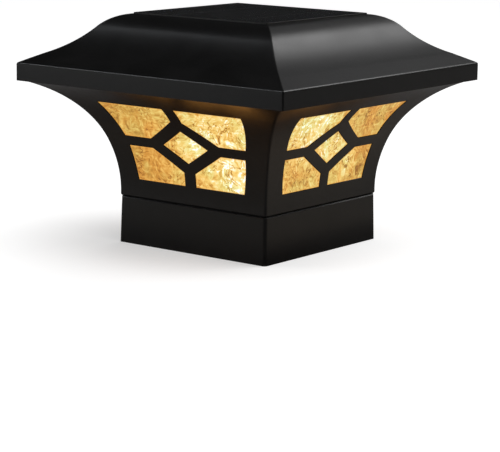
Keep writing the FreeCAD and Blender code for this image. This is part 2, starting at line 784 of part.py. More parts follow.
def panel_backsheet():
    """Board that carries the cells, with holes for the two leads."""
    sheet = square_box(PANEL_HALF, gasket_top, backsheet_top)
    holes = [cylinder(WIRE_R + SCREW_CLEARANCE, x, LEAD_Y, gasket_top - OVERCUT, backsheet_top + OVERCUT)
             for x in lead_places()]
    return cut_all(sheet, holes)


def lead_places():
    """X of the panel's two leads."""
    return LEAD_X - WIRE_HALF_GAP, LEAD_X + WIRE_HALF_GAP


def cell_corners():
    """Low corner of each of the four cells, and a cell's side."""
    side = PANEL_HALF - CELL_MARGIN - CELL_GAP / 2
    lows = (-CELL_GAP / 2 - side, CELL_GAP / 2)
    return [(x, y) for x in lows for y in lows], side


def solar_cells():
    """Four square cells, two by two."""
    corners, side = cell_corners()
    return Part.makeCompound([box(x, x + side, y, y + side, backsheet_top, cell_top) for x, y in corners])


def cell_busbars():
    """Flat ribbons soldered along the cells, one down each column."""
    _, side = cell_corners()
    reach = side + CELL_GAP / 2
    ribbons = []
    for centre in (-(side + CELL_GAP) / 2, (side + CELL_GAP) / 2):
        ribbons.append(box(centre - BUSBAR_WIDTH / 2, centre + BUSBAR_WIDTH / 2, -reach, reach,
                           cell_top, busbar_top))
    return Part.makeCompound(ribbons)


def panel_cover():
    """Clear cover over the cells, with a rim that stands on the backsheet."""
    slab = square_box(PANEL_HALF, backsheet_top, cover_under + COVER_SHEET)
    _, side = cell_corners()
    pocket = square_box(side + CELL_GAP / 2 + CELL_MARGIN / 2, backsheet_top - OVERCUT, cover_under)
    return slab.cut(pocket)


# ---------------------------------------------------------------- tub, battery and door

def hinge_lug_places():
    """X range of each lug that holds the hinge pin, outside the door's knuckles."""
    inner = HINGE_KNUCKLE_X + HINGE_KNUCKLE_LENGTH / 2 + HINGE_SIDE_GAP
    return [(inner, inner + HINGE_LUG), (-inner - HINGE_LUG, -inner)]


def along_x(radius, x0, x1, y, z):
    """Cylinder along X."""
    return Part.makeCylinder(radius, x1 - x0, Vec(x0, y, z), Vec(1, 0, 0))


def slider_slot(z0, z1):
    """Slot that the switch's slider runs in, between two heights."""
    length = SLIDER_LENGTH + 2 * (SLIDER_TRAVEL + SLIDER_CLEARANCE)
    return plan_box(SWITCH_X, SWITCH_Y, length, SLIDER_WIDTH + 2 * SLIDER_CLEARANCE, z0, z1)


def battery_tub():
    """Open-topped tub with ears, board posts, a battery bay and the door's lugs."""
    shell = plan_box(0, 0, 2 * tub_half_length, 2 * TUB_HALF_WIDTH, tub_floor_under, tub_top)
    hollow = plan_box(0, 0, 2 * tub_inner_length, 2 * tub_inner_width, tub_floor_top, tub_top + OVERCUT)
    pieces = [shell.cut(hollow)]
    for x, y in tub_ears():
        pieces.append(cylinder(TUB_EAR_R, x, y, tub_top - TUB_EAR, tub_top).cut(hollow))
    partition_top = tub_floor_top + PARTITION_HEIGHT
    pieces.append(box(-tub_inner_length - EMBED, tub_inner_length + EMBED,
                      partition_y, partition_y + PARTITION, tub_floor_top - EMBED, partition_top))
    battery_space = along_x(BATTERY_R + CRADLE_CLEARANCE, -tub_half_length, tub_half_length,
                            battery_y, battery_z)
    for x in (-CRADLE_X, CRADLE_X):
        rib = box(x - CRADLE_RIB / 2, x + CRADLE_RIB / 2, partition_y, tub_inner_width + EMBED,
                  battery_z, battery_z + BATTERY_R + CRADLE_CLEARANCE + CRADLE_RIB)
        pieces.append(rib.cut(battery_space))
    for x in (-board_post_x, board_post_x):
        pieces.append(cylinder(BOARD_POST_R, x, BOARD_POST_Y, tub_floor_top - EMBED, board_under))
        pieces.append(cylinder(BOARD_PIN_R, x, BOARD_POST_Y, board_under - EMBED,
                               board_top + BOARD_PIN_PROUD))
    for x0, x1 in hinge_lug_places():
        pieces.append(along_x(HINGE_KNUCKLE_R, x0, x1, hinge_y, door_under))
        pieces.append(box(x0, x1, hinge_y - HINGE_KNUCKLE_R, hinge_y + HINGE_KNUCKLE_R,
                          door_under, tub_floor_under + EMBED))
    body = fuse_all(pieces)
    low = tub_floor_under - OVERCUT
    high = tub_floor_top + OVERCUT
    holes = [
        box(-door_opening_half_length, door_opening_half_length,
            door_opening_y, door_opening_outer_y, low, high),
        slider_slot(low, high),
        cylinder(STEM_SPIGOT_R + STEM_FIT, 0, 0, low, high),
    ]
    for x0, x1 in hinge_lug_places():
        holes.append(along_x(HINGE_PIN_R + HINGE_PIN_GRIP, x0 - OVERCUT, x1 + OVERCUT, hinge_y, door_under))
    ear_under = tub_top - TUB_EAR
    holes += [cylinder(TUB_SCREW_R + SCREW_CLEARANCE, x, y, ear_under - OVERCUT, tub_top + OVERCUT)
              for x, y in tub_ears()]
    return cut_all(body, holes)


def pan_screw(radius, x, y, seat, length):
    """Pan-head screw driven upwards, its head under the seat."""
    head = cylinder(SCREW_HEAD_R, x, y, seat - SCREW_HEAD, seat)
    shank = cylinder(radius, x, y, seat - SCREW_HEAD, seat + length)
    return head.fuse(shank).removeSplitter()


def tub_screws():
    """Screws that hold the tub's ears to the bosses under the deck."""
    return Part.makeCompound([pan_screw(TUB_SCREW_R, x, y, tub_top - TUB_EAR, TUB_SCREW_LENGTH)
                              for x, y in tub_ears()])


def battery():
    """Rechargeable AA cell, its nub towards +X."""
    half = BATTERY_LENGTH / 2
    can = along_x(BATTERY_R, -half, half - BATTERY_NUB, battery_y, battery_z)
    nub = along_x(BATTERY_NUB_R, half - BATTERY_NUB, half, battery_y, battery_z)
    return can.fuse(nub).removeSplitter()


def contact_blank(x):
    """Upright contact plate in the bay, its low face at x."""
    half = CONTACT_WIDTH / 2
    return box(x, x + CONTACT, battery_y - half, battery_y + half, battery_z - half, battery_z + half)


def contact_plus():
    """Flat contact with a dimple that meets the battery's nub."""
    low = BATTERY_LENGTH / 2 + CONTACT_REACH
    dimple = along_x(CONTACT_DIMPLE_R, BATTERY_LENGTH / 2, low + CONTACT / 2, battery_y, battery_z)
    return contact_blank(low).fuse(dimple).removeSplitter()


def contact_minus():
    """Contact with a sprung tongue bent out to the battery's flat end."""
    high = -BATTERY_LENGTH / 2 - CONTACT_REACH
    half = CONTACT_WIDTH / 2
    foot = battery_z - half
    end = -BATTERY_LENGTH / 2
    tongue = profile(
        point(high - CONTACT, foot), point(high, foot),
        point(end, battery_z - CONTACT), point(end, battery_z + CONTACT),
        point(end - CONTACT, battery_z + CONTACT), point(end - CONTACT, battery_z - CONTACT / 2),
    )
    tongue = tongue.extrude(Vec(0, TONGUE_WIDTH, 0)).translated(Vec(0, battery_y - TONGUE_WIDTH / 2, 0))
    return contact_blank(high - CONTACT).fuse(tongue).removeSplitter()


def battery_door():
    """Door under the battery bay, with knuckles, a locating tab and a finger lip."""
    pieces = [box(-door_half_length, door_half_length, door_free_edge_y, door_hinge_edge_y,
                  door_under, door_top)]
    for x in (-HINGE_KNUCKLE_X, HINGE_KNUCKLE_X):
        x0 = x - HINGE_KNUCKLE_LENGTH / 2
        x1 = x + HINGE_KNUCKLE_LENGTH / 2
        pieces.append(along_x(HINGE_KNUCKLE_R, x0, x1, hinge_y, door_under))
        pieces.append(box(x0, x1, door_hinge_edge_y - EMBED, hinge_y, door_under, door_top))
    tab_low = door_opening_y + DOOR_TAB_CLEARANCE
    pieces.append(box(-DOOR_TAB_HALF, DOOR_TAB_HALF, tab_low, tab_low + DOOR_TAB, door_top - EMBED,
                      door_top + DOOR_TAB_RISE))
    pieces.append(box(-DOOR_LIP_HALF, DOOR_LIP_HALF, door_free_edge_y - DOOR_LIP, door_free_edge_y + EMBED,
                      door_under, door_under + DOOR_LIP_THICKNESS))
    body = fuse_all(pieces)
    return body.cut(along_x(HINGE_PIN_R + HINGE_PIN_CLEARANCE, -tub_half_length, tub_half_length,
                            hinge_y, door_under))


def door_pin():
    """Wire pin of the door's hinge."""
    reach = hinge_lug_places()[0][1]
    return along_x(HINGE_PIN_R, -reach, reach, hinge_y, door_under)


# ---------------------------------------------------------------- board and switch

def circuit_board():
    """Board on its two posts, above the stem and the switch."""
    plate = box(-board_half_length, board_half_length, board_low_y, board_high_y, board_under, board_top)
    bore = BOARD_PIN_R + BOARD_PIN_CLEARANCE
    holes = [cylinder(bore, x, BOARD_POST_Y, board_under - OVERCUT, board_top + OVERCUT)
             for x in (-board_post_x, board_post_x)]
    return cut_all(plate, holes)


def charge_chip():
    """Chip that charges the battery by day and switches the light on at dusk."""
    return plan_box(CHIP_X, CHIP_Y, CHIP_LENGTH, CHIP_WIDTH, board_top, board_top + CHIP_HEIGHT)


def choke():
    """Round coil of the circuit that raises the battery's voltage."""
    return cylinder(COIL_R, coil_x, COIL_Y, board_top, board_top + COIL_HEIGHT)


def board_parts():
    """Row of small resistors and capacitors."""
    parts = []
    for index in range(PART_COUNT):
        x = CHIP_X + (index - (PART_COUNT - 1) / 2) * PART_PITCH
        parts.append(plan_box(x, PART_Y, PART_WIDTH, PART_LENGTH, board_top, board_top + PART_HEIGHT))
    return Part.makeCompound(parts)


def switch_body():
    """Slide switch under the board, with a slot for its slider."""
    shell = plan_box(SWITCH_X, SWITCH_Y, SWITCH_LENGTH, SWITCH_WIDTH, tub_floor_top, board_under)
    return shell.cut(slider_slot(tub_floor_top - OVERCUT, tub_floor_top + SLIDER_POCKET))


def switch_slider():
    """Slider of the switch, which stands out under the tub."""
    return plan_box(SWITCH_X, SWITCH_Y, SLIDER_LENGTH, SLIDER_WIDTH, tub_floor_under - SLIDER_STANDS_OUT,
                    tub_floor_top + SLIDER_POCKET - SLIDER_CLEARANCE)


# ---------------------------------------------------------------- stem and light

def led_stem():
    """Tube that hangs the light in the middle of the lantern."""
    half = [
        point(STEM_BORE_R, stem_bottom), point(STEM_R, stem_bottom),
        point(STEM_R, stem_top - STEM_FLANGE), point(STEM_FLANGE_R, stem_top - STEM_FLANGE),
        point(STEM_FLANGE_R, stem_top), point(STEM_SPIGOT_R, stem_top),
        point(STEM_SPIGOT_R, stem_top + STEM_SPIGOT), point(STEM_BORE_R, stem_top + STEM_SPIGOT),
    ]
    return profile(*half).revolve(Vec(0, 0, 0), UP, 360)


def stem_nut():
    """Nut that holds the stem to the tub's floor."""
    corner_r = NUT_ACROSS_FLATS / 2 / math.cos(math.pi / 6)
    corners = [Vec(corner_r * math.cos(k * math.pi / 3), corner_r * math.sin(k * math.pi / 3), tub_floor_top)
               for k in range(6)]
    hexagon = Part.Face(Part.makePolygon(corners + corners[:1])).extrude(Vec(0, 0, NUT_HEIGHT))
    top = tub_floor_top + NUT_HEIGHT + OVERCUT
    return hexagon.cut(cylinder(STEM_SPIGOT_R + STEM_FIT / 2, 0, 0, tub_floor_top - OVERCUT, top))


def led_board():
    """Round board at the end of the stem."""
    return cylinder(LED_BOARD_R, 0, 0, led_board_under, stem_bottom)


def leds():
    """Square light-emitting diodes in a ring under their board."""
    blank = plan_box(LED_RING_R, 0, LED_SIDE, LED_SIDE, led_board_under - LED_HEIGHT, led_board_under)
    return Part.makeCompound([turned(blank, 360 * index / LED_COUNT) for index in range(LED_COUNT)])


def globe_profile(radius, neck_r, top):
    """Half outline of a round bulb with a neck, closed to the axis."""
    neck_angle = math.degrees(math.acos(neck_r / radius))
    return profile(point(0, globe_centre - radius), arc(0, globe_centre, radius, -90, neck_angle),
                   point(neck_r, top), point(0, top))


def led_globe():
    """Frosted globe over the diodes, its neck pushed over the stem."""
    top = stem_bottom + GLOBE_NECK_HEIGHT
    neck_inner = STEM_R + STEM_FIT
    outer = globe_profile(GLOBE_R, neck_inner + GLOBE_NECK_WALL, top).revolve(Vec(0, 0, 0), UP, 360)
    inner = globe_profile(GLOBE_R - GLOBE_WALL, neck_inner, top + OVERCUT).revolve(Vec(0, 0, 0), UP, 360)
    return outer.cut(inner)


def ceiling_reflector():
    """White sheet under the roof, round the tub."""
    sheet = square_box(ceiling_half, ceiling_under, ceiling_top)
    low = ceiling_under - OVERCUT
    high = ceiling_top + OVERCUT
    holes = [plan_box(0, 0, 2 * (tub_half_length + CEILING_TUB_CLEARANCE),
                      2 * (TUB_HALF_WIDTH + CEILING_TUB_CLEARANCE), low, high)]
    holes += [cylinder(CEILING_SCREW_R + SCREW_CLEARANCE, x, y, low, high)
              for x, y in at_corners(2 * CEILING_SCREW_XY)]
    return cut_all(sheet, holes)


def ceiling_screws():
    """Screws that hold the ceiling sheet to the roof's long bosses."""
    return Part.makeCompound([pan_screw(CEILING_SCREW_R, x, y, ceiling_under, CEILING_SCREW_LENGTH)
                              for x, y in at_corners(2 * CEILING_SCREW_XY)])


# ---------------------------------------------------------------- wires

def panel_lead(side):
    """Lead from the panel straight down to the board."""
    return cylinder(WIRE_R, LEAD_X + side * WIRE_HALF_GAP, LEAD_Y, board_top, backsheet_top)


def led_wire(side):
    """Wire from the board down the stem's bore to the diodes' board."""
    return cylinder(WIRE_R, side * WIRE_HALF_GAP, 0, stem_bottom, board_under)


PIECES = {
    "base_collar": base_collar,
    "base_screws": base_screws,
    "lantern_base": lantern_base,
    "lantern_right": lambda: lantern_wall(0),
    "lantern_back": lambda: lantern_wall(90),
    "lantern_left": lambda: lantern_wall(180),
    "lantern_front": lambda: lantern_wall(270),
    "pane_right": lambda: pane(0),
    "pane_back": lambda: pane(90),
    "pane_left": lambda: pane(180),
    "pane_front": lambda: pane(270),
    "pane_retainer": pane_retainer,
    "floor_reflector": floor_reflector,
    "roof_cover": roof_cover,
    "panel_gasket": panel_gasket,
    "panel_backsheet": panel_backsheet,
    "solar_cells": solar_cells,
    "cell_busbars": cell_busbars,
    "panel_cover": panel_cover,
    "battery_tub": battery_tub,
    "tub_screws": tub_screws,
    "battery": battery,
    "contact_plus": contact_plus,
    "contact_minus": contact_minus,
    "battery_door": battery_door,
    "door_pin": door_pin,
    "circuit_board": circuit_board,
    "charge_chip": charge_chip,
    "choke": choke,
    "board_parts": board_parts,
    "switch_body": switch_body,
    "switch_slider": switch_slider,
    "led_stem": led_stem,
    "stem_nut": stem_nut,
    "led_board": led_board,
    "leds": leds,
    "led_globe": led_globe,
    "ceiling_reflector": ceiling_reflector,
    "ceiling_screws": ceiling_screws,
    "panel_lead_red": lambda: panel_lead(1),
    "panel_lead_black": lambda: panel_lead(-1),
    "led_wire_red": lambda: led_wire(1),
    "led_wire_black": lambda: led_wire(-1),
}


def main():
    """Build each piece and write it to its own file."""
    os.makedirs("parts", exist_ok=True)
    for name, make in PIECES.items():
        shape = make()
        print(name, "valid" if shape.isValid() else "INVALID", len(shape.Solids), round(shape.Volume, 1))
        shape.exportStep(os.path.join("parts", name + ".step"))


main()
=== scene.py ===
"""Deck post cap light, dressed for a studio picture.

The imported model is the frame. The visible forms are surfaces worked out on grids of
numbers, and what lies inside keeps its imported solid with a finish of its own.
Lengths are metres, +Z is up, and the origin is the centre of the collar's open edge.
"""
import json
import logging
import math
from dataclasses import dataclass
from enum import Enum
from typing import Callable, Sequence

import bmesh
import bpy
import numpy as np
from mathutils import Matrix, Vector


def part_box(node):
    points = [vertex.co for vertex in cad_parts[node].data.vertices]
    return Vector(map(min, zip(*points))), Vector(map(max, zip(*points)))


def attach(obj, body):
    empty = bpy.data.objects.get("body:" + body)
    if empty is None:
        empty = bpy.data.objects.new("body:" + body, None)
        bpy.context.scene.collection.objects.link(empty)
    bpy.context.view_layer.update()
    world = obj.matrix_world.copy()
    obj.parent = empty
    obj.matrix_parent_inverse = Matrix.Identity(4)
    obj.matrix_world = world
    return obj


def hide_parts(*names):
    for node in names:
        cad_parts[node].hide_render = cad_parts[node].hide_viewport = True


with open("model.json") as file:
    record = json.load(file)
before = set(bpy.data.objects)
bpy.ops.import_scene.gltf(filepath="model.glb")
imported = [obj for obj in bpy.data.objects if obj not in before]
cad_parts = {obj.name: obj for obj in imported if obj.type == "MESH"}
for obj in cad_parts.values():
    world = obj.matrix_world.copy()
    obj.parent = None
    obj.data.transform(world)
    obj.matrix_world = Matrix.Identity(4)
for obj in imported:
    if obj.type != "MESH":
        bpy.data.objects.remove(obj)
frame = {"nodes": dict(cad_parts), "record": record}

LOG = logging.getLogger("post_cap_light")
MM = 0.001
QUARTER = math.pi / 2
Pair = tuple[float, float]
Colour = tuple[float, float, float]
BLACK: Colour = (0.0, 0.0, 0.0)
WHITE: Colour = (1.0, 1.0, 1.0)
Value = float | tuple[float, ...] | bpy.types.NodeSocket


class Body(Enum):
    """Moving bodies that a piece can ride on."""

    LANTERN = "lantern"
    ROOF = "roof"


class Side(Enum):
    """Sides of the lantern, by how many quarter turns they lie from +X."""

    RIGHT = 0
    BACK = 1
    LEFT = 2
    FRONT = 3

    @property
    def node(self) -> str:
        """Word that ends the names of this side's nodes."""
        return self.name.lower()

    @property
    def runs_along_x(self) -> bool:
        """Whether the side is the front or the back."""
        return self in (Side.FRONT, Side.BACK)


# ------------------------------------------------------------------ surfaces


class Skin:
    """Grids of points that are joined into one mesh."""

    merge_reach: float = 0.002 * MM
    least_edge: float = 0.001 * MM

    def __init__(self) -> None:
        """Start with nothing."""
        self._points: list[np.ndarray] = []
        self._quads: list[np.ndarray] = []
        self._count = 0

    def add(self, grid: np.ndarray, close_columns: bool = False, close_rows: bool = False) -> None:
        """Join a grid of points as quads between neighbours.

        Args:
            grid: Points, rows by columns by 3.
            close_columns: Whether the last column joins the first.
            close_rows: Whether the last row joins the first.
        """
        rows, columns = grid.shape[:2]
        index = self._count + np.arange(rows * columns).reshape(rows, columns)
        if close_columns:
            index = np.hstack([index, index[:, :1]])
        if close_rows:
            index = np.vstack([index, index[:1]])
        corners = [index[:-1, :-1], index[:-1, 1:], index[1:, 1:], index[1:, :-1]]
        self._quads.append(np.stack(corners, axis=-1).reshape(-1, 4))
        self._points.append(grid.reshape(-1, 3))
        self._count += rows * columns

    def make(self, name: str, sharp_degrees: float) -> bpy.types.Object:
        """Merge the grids where they meet and make the object.

        Args:
            name: The piece's name.
            sharp_degrees: Edges that turn more than this stay sharp.

        Returns:
            The object, at the origin, smooth shaded.
        """
        mesh = bpy.data.meshes.new(name)
        mesh.from_pydata(np.vstack(self._points).tolist(), [], np.vstack(self._quads).tolist())
        work = bmesh.new()
        work.from_mesh(mesh)
        bmesh.ops.remove_doubles(work, verts=work.verts, dist=self.merge_reach)
        bmesh.ops.dissolve_degenerate(work, dist=self.least_edge, edges=work.edges)
        bmesh.ops.recalc_face_normals(work, faces=work.faces)
        work.to_mesh(mesh)
        work.free()
        mesh.polygons.foreach_set("use_smooth", np.ones(len(mesh.polygons), bool))
        mesh.set_sharp_from_angle(angle=math.radians(sharp_degrees))
        piece = bpy.data.objects.new(name, mesh)
        bpy.context.scene.collection.objects.link(piece)
        piece.modifiers.new("flat_first", "WEIGHTED_NORMAL").keep_sharp = True
        return piece


def turned(points: np.ndarray, quarters: int) -> np.ndarray:
    """Turn points about the lamp's axis.

    Args:
        points: Points, any grid by 3.
        quarters: How many quarter turns.

    Returns:
        The turned points.
    """
    cos, sin = round(math.cos(quarters * QUARTER)), round(math.sin(quarters * QUARTER))
    x, y, z = np.moveaxis(points, -1, 0)
    return np.stack([cos * x - sin * y, sin * x + cos * y, z], axis=-1)


def arc_points(centre: Pair, radius: float, start: float, end: float, steps: int) -> np.ndarray:
    """Points on an arc: centre + radius * (cos a, sin a), a running evenly in degrees.

    Args:
        centre: Half width and height of the centre.
        radius: Radius of the arc.
        start: First angle in degrees.
        end: Last angle in degrees.
        steps: How many spans.

    Returns:
        Points, steps + 1 by 2.
    """
    angle = np.radians(np.linspace(start, end, steps + 1))
    return np.stack([centre[0] + radius * np.cos(angle), centre[1] + radius * np.sin(angle)], axis=-1)


def square_sweep(profile: np.ndarray, radius: np.ndarray, side_steps: int, corner_steps: int) -> np.ndarray:
    """Carry a profile round a square with rounded corners.

    A point of the path is s * (h - r) + d * r, where h is the profile's half width, r the
    corner radius there, s runs round a square of half width 1 and d is the outward direction.

    Args:
        profile: Half widths and heights, n by 2.
        radius: Corner radius at each point of the profile.
        side_steps: Spans along each flat.
        corner_steps: Spans round each corner.

    Returns:
        A grid, n by the path's points by 3. The path is closed by its caller.
    """
    corner, outward = [], []
    for quarter in range(4):
        angle = quarter * QUARTER + np.linspace(0, QUARTER, corner_steps + 1)
        middle = (quarter + 0.5) * QUARTER
        here = np.sign([math.cos(middle), math.sin(middle)])
        there = np.sign([math.cos(middle + QUARTER), math.sin(middle + QUARTER)])
        share = np.linspace(0, 1, side_steps + 1)[1:-1, None]
        corner += [np.tile(here, (corner_steps + 1, 1)), here + (there - here) * share]
        normal = [math.cos((quarter + 1) * QUARTER), math.sin((quarter + 1) * QUARTER)]
        outward += [np.stack([np.cos(angle), np.sin(angle)], axis=-1), np.tile(normal, (side_steps - 1, 1))]
    half, height = profile.T[:, :, None, None]
    round_off = np.minimum(radius[:, None, None], half)
    plan = np.vstack(corner)[None] * (half - round_off) + np.vstack(outward)[None] * round_off
    return np.concatenate([plan, np.broadcast_to(height, plan.shape[:2] + (1,))], axis=-1)


@dataclass(frozen=True)
class Ripple:
    """Hammered relief: the mean of many sine waves whose phase is bent by two slow ones."""

    waves: int = 26
    shortest_mm: float = 3.2
    longest_mm: float = 9.0
    slow_length: float = 23 * MM
    bend_across: float = 2.2 * MM
    bend_up: float = 1.8 * MM
    clip_share: float = 0.8

    def at(self, across: np.ndarray, up: np.ndarray, seed: int) -> np.ndarray:
        """Relief at each place of a sheet.

        Args:
            across: Place along the sheet.
            up: Place up the sheet.
            seed: Chooses directions, lengths and phases.

        Returns:
            Relief, about -1 to 1.
        """
        pick = np.random.default_rng(seed)
        slow = 2 * math.pi / self.slow_length
        bent = across + self.bend_across * np.sin(slow * up + seed)
        raised = up + self.bend_up * np.sin(slow * across + 2 * seed)
        angles = pick.uniform(0, math.pi, self.waves)
        lengths = pick.uniform(self.shortest_mm, self.longest_mm, self.waves) * MM
        phases = pick.uniform(0, 2 * math.pi, self.waves)
        total = np.zeros_like(across)
        for angle, length, phase in zip(angles, lengths, phases):
            place = bent * math.cos(angle) + raised * math.sin(angle)
            total += length * np.sin(2 * math.pi / length * place + phase)
        return np.clip(total / (np.abs(total).max() * self.clip_share), -1, 1)


# ------------------------------------------------------------------ shader graphs


class Graph:
    """A node tree with short calls to add nodes and join them."""

    def __init__(self, tree: bpy.types.NodeTree) -> None:
        """Work on one tree."""
        self.tree = tree

    def feed(self, socket: bpy.types.NodeSocket, value: Value) -> None:
        """Join an input to another node's output, or set its own value.

        Args:
            socket: The input.
            value: An output, a number, a vector, or a colour of three parts.
        """
        if isinstance(value, bpy.types.NodeSocket):
            self.tree.links.new(value, socket)
        elif socket.type == "RGBA":
            socket.default_value = (*value, 1.0)
        else:
            socket.default_value = value

    def add(self, kind: str, inputs: dict | None = None, **settings: object) -> bpy.types.Node:
        """Add a node.

        Args:
            kind: Blender's name of the node type.
            inputs: Values or sockets for its inputs, by name or number.
            settings: Attributes to set on the node.

        Returns:
            The node.
        """
        node = self.tree.nodes.new(kind)
        for key, value in settings.items():
            setattr(node, key, value)
        for key, value in (inputs or {}).items():
            self.feed(node.inputs[key], value)
        return node

    def math(self, operation: str, *values: Value) -> bpy.types.NodeSocket:
        """Result of a Math node on one to three values."""
        return self.add("ShaderNodeMath", dict(enumerate(values)), operation=operation).outputs[0]

    def vectors(self, operation: str, first: Value, second: Value) -> bpy.types.NodeSocket:
        """Result of a Vector Math node on two vectors."""
        return self.add("ShaderNodeVectorMath", {0: first, 1: second}, operation=operation).outputs[0]

    def noise(self, place: Value, scale: float, detail: float, warp: float = 0.0) -> bpy.types.NodeSocket:
        """Noise from 0 to 1 at a place."""
        inputs = {"Vector": place, "Scale": scale, "Detail": detail, "Distortion": warp}
        return self.add("ShaderNodeTexNoise", inputs).outputs[0]

    def span(self, value: Value, low: Value, high: Value,
             new_low: Value = 0.0, new_high: Value = 1.0) -> bpy.types.NodeSocket:
        """A value carried smoothly from one range to another."""
        inputs = {0: value, 1: low, 2: high, 3: new_low, 4: new_high}
        return self.add("ShaderNodeMapRange", inputs, interpolation_type="SMOOTHSTEP").outputs[0]

    def spread(self, noise: Value, new_low: Value = 0.0, new_high: Value = 1.0) -> bpy.types.NodeSocket:
        """A noise carried to a new range from 0.3 to 0.7, where most of it lies."""
        return self.span(noise, 0.3, 0.7, new_low, new_high)

    def mix(self, share: Value, first: Value, second: Value) -> bpy.types.NodeSocket:
        """A blend of two colours."""
        return self.add("ShaderNodeMix", {0: share, 6: first, 7: second}, data_type="RGBA").outputs[2]

    def attribute(self, name: str) -> bpy.types.NodeSocket:
        """A number stored on the piece's points."""
        return self.add("ShaderNodeAttribute", attribute_name=name).outputs["Fac"]


class SocketKind(Enum):
    """Kinds of input and output that a shared group may have."""

    VALUE = "NodeSocketFloat"
    COLOUR = "NodeSocketColor"
    VECTOR = "NodeSocketVector"


class Effect:
    """A shared shader group with named inputs and outputs, built once."""

    def __init__(self, name: str, inputs: dict[str, SocketKind], outputs: dict[str, SocketKind],
                 fill: Callable[[Graph, dict], dict]) -> None:
        """Build the group.

        Args:
            name: The group's name.
            inputs: Kind of each input.
            outputs: Kind of each output.
            fill: Makes the nodes; takes the graph and the input sockets and gives the outputs.
        """
        self.tree = bpy.data.node_groups.new(name, "ShaderNodeTree")
        for way, sockets in (("INPUT", inputs), ("OUTPUT", outputs)):
            for key, kind in sockets.items():
                self.tree.interface.new_socket(name=key, in_out=way, socket_type=kind.value)
        graph = Graph(self.tree)
        source = graph.add("NodeGroupInput").outputs
        graph.add("NodeGroupOutput", fill(graph, {key: source[key] for key in inputs}))

    def use(self, graph: Graph, **values: Value) -> bpy.types.NodeOutputs:
        """Outputs of the group, placed in a material with its own value for each input."""
        return graph.add("ShaderNodeGroup", values, node_tree=self.tree).outputs


@dataclass(frozen=True)
class MouldPattern:
    """Texture of a mould. A scale is how many cells a noise has in a metre."""

    spark_scale: float = 2600.0
    spark_height: float = 0.5
    peel_scale: float = 430.0
    peel_height: float = 1.6
    cloud_scale: float = 46.0
    cloud_share: float = 0.6
    speck_scale: float = 620.0
    relief: float = 0.06 * MM

    def fill(self, graph: Graph, source: dict) -> dict:
        """Fine sparks over a faint orange peel, and a shine that drifts in soft clouds.

        Args:
            graph: The group's graph.
            source: The group's inputs.

        Returns:
            The group's outputs.
        """
        place = source["Place"]
        spark = graph.math("MULTIPLY", graph.noise(place, self.spark_scale, 3.0), self.spark_height)
        fine = graph.math("MULTIPLY_ADD", graph.noise(place, self.peel_scale, 2.0), self.peel_height, spark)
        cloud = graph.noise(place, self.cloud_scale, 3.0, 0.4)
        speck = graph.math("MULTIPLY", graph.noise(place, self.speck_scale, 2.0), 1 - self.cloud_share)
        rough = graph.math("ADD", graph.math("MULTIPLY", cloud, self.cloud_share), speck)
        bump = {"Strength": source["Depth"], "Distance": self.relief, "Height": fine}
        return {"Colour": graph.mix(graph.spread(cloud), source["Dark"], source["Light"]),
                "Roughness": graph.spread(rough, source["Shiny"], source["Dull"]),
                "Normal": graph.add("ShaderNodeBump", bump).outputs[0]}


@dataclass(frozen=True)
class DustPattern:
    """Settled dust. Each range of a noise, or of a normal's height, runs from no dust to full dust."""

    speck_scale: float = 900.0
    speck_range: Pair = (0.66, 0.8)
    patch_scale: float = 30.0
    patch_range: Pair = (0.45, 0.75)
    upward_range: Pair = (0.2, 0.9)

    def fill(self, graph: Graph, source: dict) -> dict:
        """Specks, in patches, on faces that look up.

        Args:
            graph: The group's graph.
            source: The group's inputs.

        Returns:
            The group's outputs.
        """
        normal = graph.add("ShaderNodeNewGeometry").outputs["Normal"]
        height = graph.add("ShaderNodeSeparateXYZ", {0: normal}).outputs[2]
        upward = graph.span(height, *self.upward_range)
        speck = graph.span(graph.noise(source["Place"], self.speck_scale, 1.0), *self.speck_range)
        patch = graph.span(graph.noise(source["Place"], self.patch_scale, 3.0), *self.patch_range)
        mask = graph.math("MULTIPLY", graph.math("MULTIPLY", speck, patch), upward)
        return {"Mask": graph.math("MULTIPLY", mask, source["Amount"])}


